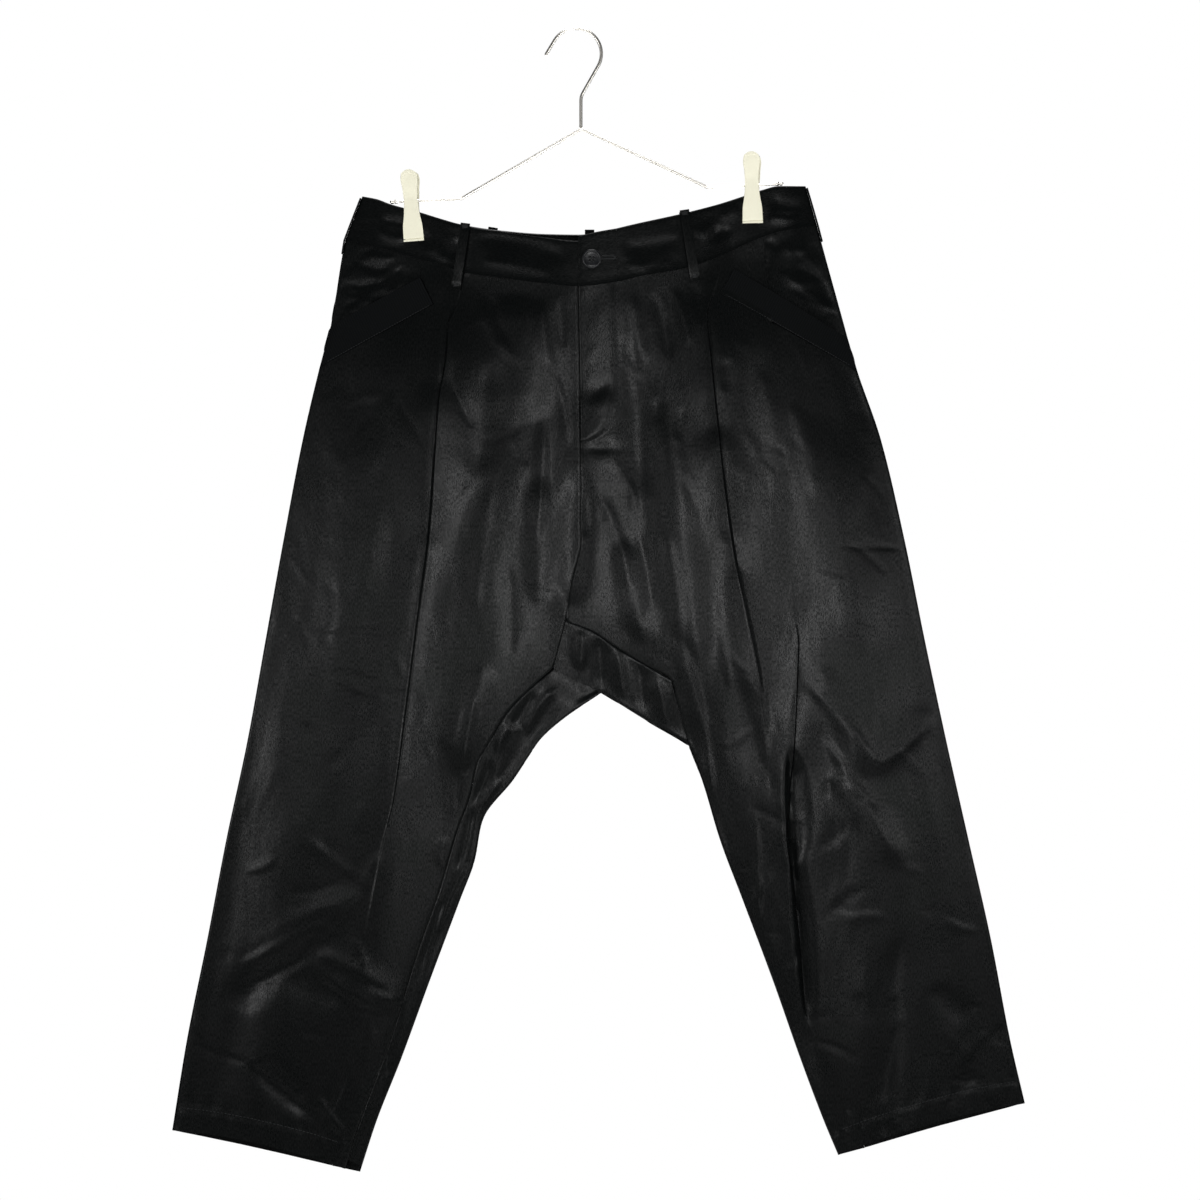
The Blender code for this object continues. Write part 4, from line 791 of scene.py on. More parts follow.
def satin_finish():
    """Black polyester satin, woven with long floats and calendered: a near-black cloth whose gloss
    breaks up over the folds, with fine lengthways slubs that shine a little more or less."""
    made, tree, shader = finish_of("polyester_satin_black", Sheen_Weight=0.0)
    weave = node(tree, "ShaderNodeUVMap", uv_map="weave")
    stretched = node(tree, "ShaderNodeMapping", inputs={"Scale": SLUB_SQUEEZE},
                     links={"Vector": weave.outputs["UV"]})
    slubs = node(tree, "ShaderNodeTexNoise", inputs={"Scale": 1.0 / (THREAD_PITCH * MM), "Detail": 2.0},
                 links={"Vector": stretched.outputs["Vector"]})
    patches = node(tree, "ShaderNodeTexNoise", inputs={"Scale": 1.0 / (GLOSS_PATCH * MM), "Detail": 3.0},
                   links={"Vector": weave.outputs["UV"]})
    tone = node(tree, "ShaderNodeMix", data_type="RGBA",
                inputs={6: (*linear("030404"), 1.0), 7: (*linear("080909"), 1.0)},
                links={0: slubs.outputs["Fac"]})
    tree.links.new(tone.outputs[2], shader.inputs["Base Color"])
    gloss = node(tree, "ShaderNodeMapRange",
                 inputs={"From Min": 0.3, "From Max": 0.7, "To Min": 0.25, "To Max": 0.31},
                 links={"Value": patches.outputs["Fac"]})
    tree.links.new(gloss.outputs["Result"], shader.inputs["Roughness"])
    floats = node(tree, "ShaderNodeMapRange",
                  inputs={"From Min": 0.32, "From Max": 0.68, "To Min": 0.034, "To Max": 0.116},
                  links={"Value": slubs.outputs["Fac"]})
    tree.links.new(floats.outputs["Result"], shader.inputs["Specular IOR Level"])
    drawn_out = node(tree, "ShaderNodeMapping", inputs={"Scale": CRUMPLE_SQUEEZE},
                     links={"Vector": weave.outputs["UV"]})
    crumple = node(tree, "ShaderNodeTexNoise",
                   inputs={"Scale": 1.0 / (CRUMPLE * MM), "Detail": 2.0, "Roughness": 0.45},
                   links={"Vector": drawn_out.outputs["Vector"]})
    soft = node(tree, "ShaderNodeBump", inputs={"Strength": 0.6, "Distance": 0.8 * MM},
                links={"Height": crumple.outputs["Fac"]})
    threads = node(tree, "ShaderNodeBump", inputs={"Strength": 0.5, "Distance": 0.15 * MM},
                   links={"Height": slubs.outputs["Fac"], "Normal": soft.outputs["Normal"]})
    tree.links.new(threads.outputs["Normal"], shader.inputs["Normal"])
    return made


def tape_finish():
    """Black petersham tape, a ribbed rayon weave: quite matt, with fine ribs across it."""
    made, tree, shader = finish_of("petersham_tape_black", Roughness=0.85, Specular_IOR_Level=0.05)
    weave = node(tree, "ShaderNodeUVMap", uv_map="weave")
    ribs = node(tree, "ShaderNodeTexWave", wave_type="BANDS", bands_direction="Y",
                inputs={"Scale": 1.0 / (TAPE_RIB * MM) / 20.0 * math.tau / 2.0, "Distortion": 0.6,
                        "Detail": 1.0},
                links={"Vector": weave.outputs["UV"]})
    tone = node(tree, "ShaderNodeMix", data_type="RGBA",
                inputs={6: (*linear("020303"), 1.0), 7: (*linear("060708"), 1.0)},
                links={0: ribs.outputs["Fac"]})
    tree.links.new(tone.outputs[2], shader.inputs["Base Color"])
    raised = node(tree, "ShaderNodeBump", inputs={"Strength": 0.4, "Distance": 0.2 * MM},
                  links={"Height": ribs.outputs["Fac"]})
    tree.links.new(raised.outputs["Normal"], shader.inputs["Normal"])
    return made


def clouded_finish(name, code, other_code, grain, detail, **values):
    """A material whose tone drifts between two codes over a grain of the size given.

    Returns the material, its tree, its shader and the node whose pattern the tone follows.
    """
    made, tree, shader = finish_of(name, **values)
    place = node(tree, "ShaderNodeTexCoord")
    cloud = node(tree, "ShaderNodeTexNoise", inputs={"Scale": 1.0 / (grain * MM), "Detail": detail},
                 links={"Vector": place.outputs["Object"]})
    tone = node(tree, "ShaderNodeMix", data_type="RGBA",
                inputs={6: (*linear(code), 1.0), 7: (*linear(other_code), 1.0)},
                links={0: cloud.outputs["Fac"]})
    tree.links.new(tone.outputs[2], shader.inputs["Base Color"])
    return made, tree, shader, cloud


def metal_finish(name, metallic, code, other_code, rough, rougher, grain, lift):
    """A plated metal whose tone and polish vary over a grain of the size given."""
    made, tree, shader, cloud = clouded_finish(name, code, other_code, grain, 3.0, Metallic=metallic)
    gloss = node(tree, "ShaderNodeMapRange", inputs={"To Min": rough, "To Max": rougher},
                 links={"Value": cloud.outputs["Fac"]})
    tree.links.new(gloss.outputs["Result"], shader.inputs["Roughness"])
    bump = node(tree, "ShaderNodeBump", inputs={"Strength": lift, "Distance": 0.05 * MM},
                links={"Height": cloud.outputs["Fac"]})
    tree.links.new(bump.outputs["Normal"], shader.inputs["Normal"])
    return made


# Drawn steel wire, nickel plated: bright, with a long highlight and fine die lines
WIRE = metal_finish("nickel_plated_wire", 1.0, "e6e3dd", "d2cec5", 0.26, 0.36, 2.0, 0.02)
# Pressed steel, pearl nickel plated and lacquered: an ivory white with a soft broad gloss
PLATE = metal_finish("pearl_nickel_plate", 0.2, "cfcdba", "c9c6b2", 0.5, 0.6, 1.2, 0.05)
SATIN = satin_finish()
TAPE = tape_finish()
# Black polyester sewing thread, twisted: a little shinier than the cloth at each stitch
THREAD = clouded_finish("sewing_thread_black", "090a0b", "141617", 0.8, 1.0,
                        Roughness=0.55, Specular_IOR_Level=0.2)[0]
# Black cast polyester, tumbled smooth: a soft gloss over solid black, faintly clouded
BUTTON = clouded_finish("cast_polyester_button_black", "0a0b0c", "151618", 6.0, 2.0,
                        Roughness=0.3, Specular_IOR_Level=0.2)[0]

# Distances of the columns beside a folded edge, a seam, a pleat, an end that goes under another
# piece and an end that meets one
EDGE = (0.0, 0.25, 0.7, 1.3, 2.1, 3.1, 4.4, 6.5)
SEAM = (0.0, 0.5, 1.1, 1.8, 2.8)
PLEAT_UNDER = (0.25, 0.55, 0.85, 1.2, 2.2, 4.0)
PLEAT_OVER = (0.0, 0.2, 0.5, 1.0, 2.2, 4.0)
HIDDEN = (0.0, 0.6)
BUTTED = (0.0, 0.6, 1.4)
# Shares of the way down a pocket tape at which a front panel has its rows
TAPE_SHARES = (0.25, 0.5, 0.75, 0.9, 0.97, 1.0)


def tape_rows(tape_lower, inner_from, inner_to):
    """Rows beside a pocket tape: height on the tape's lower edge, height on the inner seam."""
    top, bottom = tape_lower[0][1], tape_lower[1][1]
    return [(top + (bottom - top) * share, inner_from + (inner_to - inner_from) * share)
            for share in TAPE_SHARES]


def under(line, z):
    """The part of a drawn line that lies below a height."""
    return [point for point in line if point[1] < z]


def panel(name, layer, grid, sewn, lift=0.0):
    """A panel with a turned-up hem, over a grid of places, its sewn edges rolled in."""
    points = rolled(hem_relief(grid, lay(layer, *split(grid), lift)), (sewn,))
    return wall(f"trousers_{name}", points, hem_thickness(grid), SATIN, 1 if layer == "front" else -1)


def front_panel_right():
    outer = [(-139, -204), TAPE_RIGHT_UPPER[0], *TAPE_RIGHT_LOWER, *under(SIDE_RIGHT_DRAWN, -301)]
    inner = drawn([*CENTRE_FRONT, *GUSSET_SEAM_RIGHT])
    heights = [(-204, -229), (-220, -240), (-244, -262), *tape_rows(TAPE_RIGHT_LOWER, -270, -345),
               (-364, -395), (-453, -453), (-485, -492), (-512, -525), (-530, -549),
               (-542, -564), (-560, -579), (-595, -605), (-631, -631), (-653, -653),
               (-685, -680), (-720, -713), (-760, -765), (-809, -821), (-870, -898),
               (-898, -930), (-942, -973), (-978, -1012)]
    spans = [(EDGE, 40, PLEAT_UNDER), (PLEAT_OVER, 44, SEAM)]
    grid = panel_grid(outer, inner, heights, [PLEAT_RIGHT_DRAWN], spans, (0.0, SEAM_GAP), HEM_RISE)
    return panel("front_right", "front", grid, "last")


def front_panel_left():
    inner = drawn([*CENTRE_FRONT, *GUSSET_SEAM_CROTCH[1:], *CROTCH_DRAPE, *INNER_FOLD_LEFT[2:]])
    outer = [(140, -195), TAPE_LEFT_UPPER[0], *TAPE_LEFT_LOWER, *under(SIDE_LEFT_DRAWN, -304)]
    rows = [(-195, -229), (-212, -240), (-234, -262), *tape_rows(TAPE_LEFT_LOWER, -270, -345),
            (-364, -367), (-410, -410), (-453, -453), (-480, -492), (-505, -525), (-515, -533),
            (-530, -549), (-542, -564), (-556, -577), (-574, -596), (-592, -615), (-612, -636),
            (-631, -652), (-645, -667), (-680, -693), (-720, -720), (-770, -773), (-809, -812),
            (-842, -845), (-898, -916), (-935, -969), (-954, -1000)]
    heights = [(inner_height, outer_height) for outer_height, inner_height in rows]
    spans = [(SEAM, 44, PLEAT_OVER[1:]), ((0.0, *PLEAT_UNDER), 14, PLEAT_OVER[1:]),
             ((0.0, *PLEAT_UNDER), 40, EDGE)]
    grid = panel_grid(inner, outer, heights, [PLEAT_LEFT_DRAWN, LEG_FOLD_DRAWN], spans,
                      (SEAM_GAP, 0.0), HEM_RISE)
    return panel("front_left", "front", grid, "first", lap(*split(grid)))


def back_panels():
    seam = [*drawn(CENTRE_BACK), *drawn(BACK_SEAM_RIGHT)]
    heights = [(-187, -228), (-263, -290), (-300, -325), (-364, -385), (-453, -460), (-542, -562),
               (-572, -590), (-605, -610), (-631, -631), (-653, -653), (-685, -680),
               (-720, -713), (-760, -765), (-809, -821), (-870, -898), (-898, -925),
               (-940, -973), (-978, -1010)]
    grid = panel_grid(SIDE_RIGHT_DRAWN, seam, heights, [], [(EDGE, 56, SEAM)], (0.0, SEAM_GAP))
    right = panel("back_right", "back", grid, "last")

    seam = [*drawn(CENTRE_BACK), *drawn(BACK_SEAM_LEFT)]
    heights = [(-228, -174), (-300, -274), (-325, -303), (-385, -364), (-460, -453), (-562, -542),
               (-575, -555), (-590, -570), (-610, -590), (-640, -631), (-667, -660), (-720, -720),
               (-773, -770), (-812, -809), (-845, -845), (-916, -898), (-969, -935),
               (-994, -954)]
    grid = panel_grid(seam, SIDE_LEFT_DRAWN, heights, [], [(SEAM, 60, EDGE)], (SEAM_GAP, 0.0))
    return right, panel("back_left", "back", grid, "first")


# Soft folds of the gusset down the right leg, in the columns of the fold tables
LEG_GUSSET_CREASES = [
    (-16, -584, -46, -628, 4, 1.8, 5, 4),
    (-38, -586, -62, -622, -4, -2.0, 5, 5),
    (-54, -612, -76, -660, 4, 1.6, 5, 4),
    (-70, -628, -92, -690, -3, -1.8, 5, 5),
    (-66, -664, -88, -716, 3, 1.5, 4, 4),
    (-92, -690, -106, -748, -2, -1.5, 5, 4),
    (-96, -738, -124, -806, 2, 1.2, 4, 4),
    (-118, -770, -138, -836, 0, -1.2, 5, 4),
    (-134, -836, -164, -930, 0, 0.9, 4, 4),
    (-150, -850, -176, -940, 0, -0.9, 4, 4),
]


def gusset_legs():
    # Right leg: from the front seam round the inner fold to the back seam.
    # Columns: height on the front seam, on the fold, on the back seam
    heights = [(-565.5, -589.2, -565), (-579, -613, -590), (-605, -631, -610), (-631, -649, -631),
               (-653, -667, -653), (-680, -702, -680), (-713, -738, -713), (-765, -773, -765),
               (-821, -845, -821), (-898, -916, -898), (-950, -969, -950), (-973, -990, -973),
               (-1012, -1015, -1010)]
    front_seam = [CROTCH_TUCK[0], *drawn(GUSSET_SEAM_RIGHT[2:])]
    back_seam = [CENTRE_BACK[1], *drawn(BACK_SEAM_RIGHT)]
    front = panel_grid(front_seam, INNER_RIGHT_DRAWN, [row[:2] for row in heights], [],
                       [(SEAM, 16, EDGE)], (SEAM_GAP, 0.0), waisted=False)
    back = panel_grid(INNER_RIGHT_DRAWN, back_seam, [row[1:] for row in heights], [],
                      [(EDGE, 10, SEAM)], (0.0, SEAM_GAP), waisted=False)
    rows = min(len(front), len(back))
    front, back = front[:rows], back[:rows]
    x, z = split(front)
    sunk = TUCK_DEPTH * (1.0 - smooth(distance_to(CROTCH_TUCK, x, z) / TUCK_RUN))
    creased = folds(LEG_GUSSET_CREASES, x, z) * fade(x, z, FOLD_FADE)
    points = np.concatenate([lay("front", x, z, creased - sunk), lay("back", *split(back))], axis=1)
    thickness = np.concatenate([hem_thickness(front), hem_thickness(back)], axis=1)
    right = wall("trousers_gusset_right_leg", rolled(points, ("first", "last")), thickness, SATIN, 1)

    # Left leg: the front seam lies on the fold, so this stretch shows on the back only.
    heights = [(-590, -564), (-613, -575), (-625, -590), (-636, -610), (-652, -640), (-667, -667),
               (-720, -720), (-773, -773), (-845, -845), (-916, -916), (-969, -969),
               (-1000, -994)]
    seam = [CENTRE_BACK[1], *drawn(BACK_SEAM_LEFT)]
    grid = panel_grid(INNER_LEFT_DRAWN, seam, heights, [], [(EDGE, 12, SEAM)],
                      (0.0, SEAM_GAP), waisted=False)
    return right, panel("gusset_left_leg", "back", grid, "last")


def band_grid(stations, shares, near_first, near_last, end_gaps, edge_gaps, waisted=None):
    """Places (x, z) of a strip from its stations: rows run along it and columns across it.

    The strip stops short of its ends and of its upper and lower edges by the gaps given. waisted
    names the edge that lies on the waist seam, upper or lower.
    """
    table = np.array(stations, float)
    along = np.concatenate([[0.0], np.cumsum(np.hypot(*np.diff(table[:, :2], axis=0).T))])
    keyed = [(key, *row) for key, row in zip(along, table)]
    inner_keys = np.linspace(along[0] + max(near_first), along[-1] - max(near_last),
                             max(3, round((along[-1] - along[0]) / CELL)))[1:-1]
    keys = np.concatenate([along[0] + np.array(near_first), inner_keys,
                           along[-1] - np.array(near_last)[::-1]])
    keys[0] += end_gaps[0]
    keys[-1] -= end_gaps[1]
    rows = np.stack([curve_on(keyed, keys, column) for column in (1, 2, 3, 4)], axis=-1)
    if waisted == "lower":
        rows[:, 3] = waist_seam(rows[:, 2])
    elif waisted == "upper":
        rows[:, 1] = waist_seam(rows[:, 0])
    upper, lower = rows[:, None, :2], rows[:, None, 2:]
    down = (lower - upper) / np.linalg.norm(lower - upper, axis=-1, keepdims=True)
    upper, lower = upper + down * edge_gaps[0], lower - down * edge_gaps[1]
    return upper + (lower - upper) * np.array(shares)[None, :, None]


# Creases of the waistband, in the columns of the fold tables
BAND_CREASES = {
    "front": [
        (-172, -168, -146, -172, 2, -1.0, 5, 4),    # drawn in by the right clip
        (-176, -178, -150, -186, 2, 0.8, 5, 5),
        (-132, -186, -112, -206, 2, 0.7, 6, 5),
        (-128, -196, -140, -178, 0, -0.8, 5, 4),
        (-92, -186, -6, -205, -4, -0.9, 10, 7),
        (-86, -206, -20, -218, -3, 0.6, 6, 4),
        (-104, -186, -112, -204, 0, -0.7, 5, 4),
        (40, -194, 92, -186, 3, -0.8, 9, 6),
        (44, -210, 92, -204, 3, 0.6, 6, 4),
        (104, -180, 122, -176, 2, 0.6, 6, 5),
        (60, -214, 92, -204, 0, -0.5, 5, 5),
        (118, -186, 138, -178, -2, -0.8, 6, 5),
        (128, -168, 144, -158, 0, 0.7, 6, 5),
        (172, -150, 200, -158, 3, -0.8, 8, 7),      # and by the left one
        (170, -166, 196, -168, 0, 0.7, 6, 5),
    ],
    "back": [
        (-126, -180, -102, -192, 2, 0.7, 6, 5),
        (-60, -196, -10, -206, 0, -0.5, 8, 6),
        (50, -196, 92, -190, 0, 0.5, 8, 6),
        (128, -174, 150, -166, 0, -0.7, 6, 5),
        (170, -158, 198, -160, 0, 0.6, 7, 6),
    ],
}
BAND_SHARES = (0.0, 0.008, 0.025, 0.05, 0.1, *np.linspace(0.16, 0.84, 13), 0.9, 0.94, 0.965, 0.985,
               1.0)
BAND_TURN = 0.7         # how far the band's top edge rolls in
BAND_ROLL = 2.2         # over this width
BAND_FLARE = 5.0        # and the width over which its lower edge stands out
FLARE_SHARE = 0.7       # how far it stands out, as a share of the roll


def band_surface(layer, grid, lift):
    """Points of the waistband: creased, with a top that rolls in and a lower edge that flares out."""
    x, z = split(grid)
    points = lay(layer, x, z, lift)
    across = run_lengths(points, 1)
    roll = curl(across, BAND_ROLL) - FLARE_SHARE * curl(across[:, -1:] - across, BAND_FLARE)
    ripple = 0.35 * drape(9 if layer == "front" else 10, x * 1.6, z * 1.6)
    ripple += 1.5 * folds(BAND_CREASES[layer], x, z)
    return raised(points, (ripple - BAND_TURN * roll) * fade(x, z, LIFT_FADE))


def waistband():
    """The band's two fronts, the fly end that the left one laps over, and its back."""
    # Columns: piece, layer, stations, columns beside the first end and the last one, gap at the first
    parts = [("right", "front", BAND_RIGHT, EDGE, HIDDEN, 0.0),
             ("left", "front", BAND_LEFT, BUTTED, EDGE, SEAM_GAP),
             ("fly_end", "front", BAND_FLY_END, (0.0, 0.4, 1.0, 2.0), HIDDEN, 0.0),
             ("back", "back", BAND_BACK, EDGE, EDGE, 0.0)]
    made = []
    for name, layer, stations, near_first, near_last, gap in parts:
        grid = band_grid(stations, BAND_SHARES, near_first, near_last, (gap, 0.0),
                         (0.0, SEAM_GAP / 2), "lower")
        lapped = {"left": 1.0 - smooth((grid[..., 0] - BAND_LEFT[0][0]) / LAP_RUN), "fly_end": 1.0}
        points = band_surface(layer, grid, BAND_LIFT + LAP_LIFT * lapped.get(name, 0.0))
        if name == "fly_end":
            points = raised(points, -BAND_TURN * curl(run_lengths(points, 0), 2.0))
        made.append(wall(f"trousers_waistband_{name}", points, BAND, SATIN,
                         -1 if layer == "front" else 1, True))
    return made


# Crinkles of the yokes behind the pockets, in the columns of the fold tables
YOKE_CREASES = [
    (-196, -206, -166, -212, 3, -1.3, 5, 4),
    (-186, -200, -160, -202, 2, 1.0, 4, 4),
    (-204, -226, -176, -222, 3, -1.2, 5, 4),
    (-198, -236, -182, -244, 0, 1.0, 5, 4),
    (-160, -212, -148, -222, 0, -1.2, 5, 5),
    (-172, -226, -158, -234, 2, 0.9, 5, 4),
    (-208, -246, -196, -250, 0, -0.9, 4, 4),
    (168, -186, 182, -196, 0, -1.1, 4, 4),
    (178, -192, 206, -196, 2, 1.0, 5, 4),
    (196, -208, 220, -222, 3, -1.2, 5, 4),
    (182, -214, 204, -228, 2, 1.1, 5, 4),
    (206, -232, 232, -250, 3, 1.0, 5, 4),
    (158, -200, 172, -214, 2, -1.0, 5, 4),
    (150, -204, 158, -216, 0, 0.9, 4, 4),
    (218, -222, 228, -244, 0, -1.1, 5, 4),
]
YOKE_CRINKLES = [*crinkles(21, 26, (-212, -146, -262, -192)), *crinkles(22, 30, (146, 236, -262, -178))]


def held(points, top, low):
    """Share of a relief that is left beside the sewn upper and lower edges of a strip."""
    across = run_lengths(points, 1)
    return smooth(across / top) * smooth((across[:, -1:] - across) / low)


def hip_yokes():
    """The yoke behind each pocket runs from the waist seam to just under the tape."""
    # Columns: x on the waist seam, x on the tape's upper edge, how far it runs under the tape
    sides = [
        ("right", TAPE_RIGHT_UPPER, 1,
         [(-139, -138, 4), (-151, -158, 4), (-178, -188, 4), (-196, -207, 0), (-205, -218, 0)]),
        ("left", TAPE_LEFT_UPPER, -1,
         [(140, 140, 4), (149, 157, 4), (164, 175, 4), (179, 193, 4), (204, 229, 0),
          (214, 241.5, 0)]),
    ]
    made = []
    for side, tape, outward, places in sides:
        stations = [(top, float(waist_seam(top)), low, float(z_on(sorted(tape), low)) - under_tape)
                    for top, low, under_tape in places]
        grid = band_grid(stations, np.linspace(0.0, 1.0, 40), BUTTED, EDGE, (SEAM_GAP, 0.0),
                         (SEAM_GAP, 0.0), "upper")
        x, z = split(grid)
        points = lay("front", x, z)
        creased = 0.7 * folds(YOKE_CREASES, x, z) + 1.5 * folds(YOKE_CRINKLES, x, z)
        creased *= held(points, 6.0, 9.0) * fade(x, z, FINE_FADE)
        made.append(wall(f"trousers_hip_yoke_{side}", raised(points, creased), CLOTH, SATIN, outward))
    return made


def pocket_tapes():
    made = []
    shares = np.array((0.0, 0.01, 0.03, 0.06, 0.12, *np.linspace(0.2, 0.9, 10), 0.96, 1.0))
    for side, upper, lower, outward in (("right", TAPE_RIGHT_UPPER, TAPE_RIGHT_LOWER, 1),
                                        ("left", TAPE_LEFT_UPPER, TAPE_LEFT_LOWER, -1)):
        stations = [(*upper[0], *lower[0]), (*upper[1], *lower[1])]
        grid = band_grid(stations, shares, (0.0,), EDGE, (0.6, 0.0), (0.0, 0.5))
        points = lay("front", *split(grid), TAPE_LIFT * (1.0 - shares))
        points = raised(points, -0.5 * curl(run_lengths(points, 1), 1.2))
        made.append(wall(f"trousers_pocket_tape_{side}", points, TAPE_THICKNESS, TAPE, outward, True))
    return made


# Soft folds of the gusset between the legs, in the columns of the fold tables
CROTCH_CREASES = [
    (6, -532, 4, -570, 0, 2.4, 6, 5),
    (20, -538, 23, -588, 0, -2.2, 6, 7),
    (36, -548, 43, -596, 0, 1.6, 7, 5),
    (56, -562, 63, -608, 0, -1.8, 6, 7),
    (70, -572, 82, -620, 0, 1.4, 6, 5),
    (88, -584, 96, -630, 0, -1.2, 5, 5),
]


def gusset_crotch():
    """Front stretch of the gusset between the legs. Its right end lies over the right leg's."""
    # Columns: x and height on the crotch seam, x and height on the lower fold
    stations = [*[(*GUSSET_SEAM_CROTCH[k], *CROTCH_TUCK[k]) for k in range(3)],
                (*GUSSET_SEAM_CROTCH[3], 61, -613), (72.5, -570.5, 80, -624.2),
                (*GUSSET_SEAM_CROTCH[4], 100, -636)]
    shares = np.array((0.0, 0.012, 0.03, 0.06, *np.linspace(0.1, 0.9, 15), 0.94, 0.97, 0.985, 0.995,
                       1.0))
    grid = band_grid(stations, shares, (0.0, 1.0, 3.0), (0.0, 1.0, 3.0), (SEAM_GAP, SEAM_GAP),
                     (SEAM_GAP, 0.0))
    x, z = split(grid)
    right_end = 1.0 - smooth((x - CROTCH_TUCK[0][0]) / 40.0)
    points = lay("front", x, z, TUCK_LIFT * right_end * shares)
    creased = folds(CROTCH_CREASES, x, z) * held(points, 6.0, 8.0)
    points = raised(points, creased - SEAM_TURN * curl(run_lengths(points, 1), SEAM_RUN))
    return wall("trousers_gusset_crotch", points, CLOTH, SATIN, -1)


def belt_loops():
    """The loops by node: straight ones on the two layers, and one that stands on each side seam."""
    made = {}
    across = np.array((-0.5, -0.47, -0.4, -0.2, 0.0, 0.2, 0.4, 0.47, 0.5))[None, :]
    edge_roll = 0.15 * np.clip((np.abs(across) - 0.38) / 0.12, 0.0, 1.0) ** 2
    along = np.linspace(0.0, 1.0, 30)[:, None]
    tack = 0.5 * sum(np.exp(-((along - share) / 0.03) ** 2) for share in (0.06, 0.94))
    for name, layer, x0, z0, x1, z1 in BELT_LOOPS:
        length = math.dist((x0, z0), (x1, z1))
        x = x0 + (x1 - x0) * along - across * LOOP_WIDTH * (z1 - z0) / length
        z = z0 + (z1 - z0) * along + across * LOOP_WIDTH * (x1 - x0) / length
        points = lay(layer, x, z, LOOP_LIFT + LOOP_BOW * np.sin(math.pi * along) - edge_roll - tack)
        made[name] = wall(f"trousers_{name}", points, LOOP, SATIN, 1 if layer == "front" else -1, True)
    for name, seam, way, top, low in SIDE_LOOPS:
        y = across * LOOP_WIDTH + 0.0 * along
        z = top + (low - top) * along + 0.0 * y
        lift = LOOP + 0.2 + 0.2 * np.sin(math.pi * along) - edge_roll
        points = np.stack([x_on(seam, z) + way * lift, y, z], axis=-1)
        made[name] = wall(f"trousers_{name}", points, LOOP, SATIN, way, True)
    return made


def ring(centre, radius, side, up, sides):
    """Points of a circle round a centre, in the plane of two unit vectors."""
    return [centre + radius * (math.cos(turn) * side + math.sin(turn) * up)
            for turn in np.arange(sides) * math.tau / sides]


def round_faces(first, rings, sides):
    """Faces of a round body: vertex first is one pole, then come its rings and the other pole."""
    last = first + 1 + rings * sides
    faces = []
    for k in range(sides):
        after = (k + 1) % sides
        faces.append((first, first + 1 + after, first + 1 + k))
        for low in range(first + 1, last - sides, sides):
            high = low + sides
            faces.append((low + k, low + after, high + after, high + k))
        faces.append((last, last - sides + k, last - sides + after))
    return faces


def tube(name, route, radii, finish, sides=20):
    """Smooth round wire along a list of points (x, y, z), with rounded, closed ends."""
    route = np.array(route, float)
    radii = np.array(np.broadcast_to(radii, len(route)), float)
    along = np.gradient(route, axis=0)
    along /= np.linalg.norm(along, axis=1, keepdims=True)
    route = np.concatenate([route[:1] - along[:1] * radii[0] * 0.45, route,
                            route[-1:] + along[-1:] * radii[-1] * 0.45])
    radii = np.concatenate([radii[:1] * 0.6, radii, radii[-1:] * 0.6])
    along = np.concatenate([along[:1], along, along[-1:]])
    side = np.cross(along[0], (0.3, 0.9, 0.2))
    vertices = [route[0]]
    for place, radius, way in zip(route, radii, along):
        side = side - way * np.dot(side, way)
        side /= np.linalg.norm(side)
        vertices += ring(place, radius, side, np.cross(way, side), sides)
    vertices.append(route[-1])
    return mesh_object(name, vertices, round_faces(0, len(route), sides), finish)


def bent(corners, radii, steps=14):
    """Route (x, z) along straight runs, with each corner rounded to its radius."""
    route = [corners[0]]
    for before, corner, after, radius in zip(corners, corners[1:], corners[2:], radii[1:]):
        before, corner, after = (np.array(place, float) for place in (before, corner, after))
        back = (before - corner) / np.linalg.norm(before - corner)
        on = (after - corner) / np.linalg.norm(after - corner)
        half = math.acos(np.clip(np.dot(back, on), -1.0, 1.0)) / 2.0
        centre = corner + (back + on) / np.linalg.norm(back + on) * radius / math.sin(half)
        first = corner + back * radius / math.tan(half) - centre
        last = corner + on * radius / math.tan(half) - centre
        for k in range(steps + 1):
            spoke = first + (last - first) * k / steps
            route.append(tuple(centre + spoke / np.linalg.norm(spoke) * radius))
    return [*route, corners[-1]]


def hanger():
    """The hook's wire, from its tip down to its neck, and the frame's, with its crimped ends."""
    centre_z = WIRE_RADIUS - HOOK_RADIUS
    turns = np.radians(np.linspace(HOOK_FROM, HOOK_TO, 60))
    arc = [(HOOK_RADIUS * math.cos(turn), centre_z + HOOK_RADIUS * math.sin(turn)) for turn in turns]
    tip = (arc[0][0] - HOOK_TIP * math.sin(turns[0]), arc[0][1] + HOOK_TIP * math.cos(turns[0]))
    shank = (arc[-1][0] + HOOK_SHANK * math.sin(turns[-1]),
             arc[-1][1] - HOOK_SHANK * math.cos(turns[-1]))
    neck = bent([arc[-1], shank, (shank[0], NECK_LOW)], [0, NECK_BEND])
    hook = tube("hanger_hook_wire", [(x, 0.0, z) for x, z in [tip, *arc, *neck[1:]]], WIRE_RADIUS, WIRE)
    route = np.array(bent(FRAME_ROUTE, FRAME_BENDS))
    steps = np.array(CRIMP_STEPS)[:, None]
    first = (route[1] - route[0]) / np.linalg.norm(route[1] - route[0])
    last = (route[-2] - route[-1]) / np.linalg.norm(route[-2] - route[-1])
    route = np.concatenate([route[0] + first * steps, route[1:-1], (route[-1] + last * steps)[::-1]])
    widths = np.concatenate([CRIMP_WIDTHS, np.ones(len(route) - 2 * len(CRIMP_WIDTHS)),
                             CRIMP_WIDTHS[::-1]])
    return hook, tube("hanger_frame_wire", [(x, 0.0, z) for x, z in route], widths * WIRE_RADIUS, WIRE)


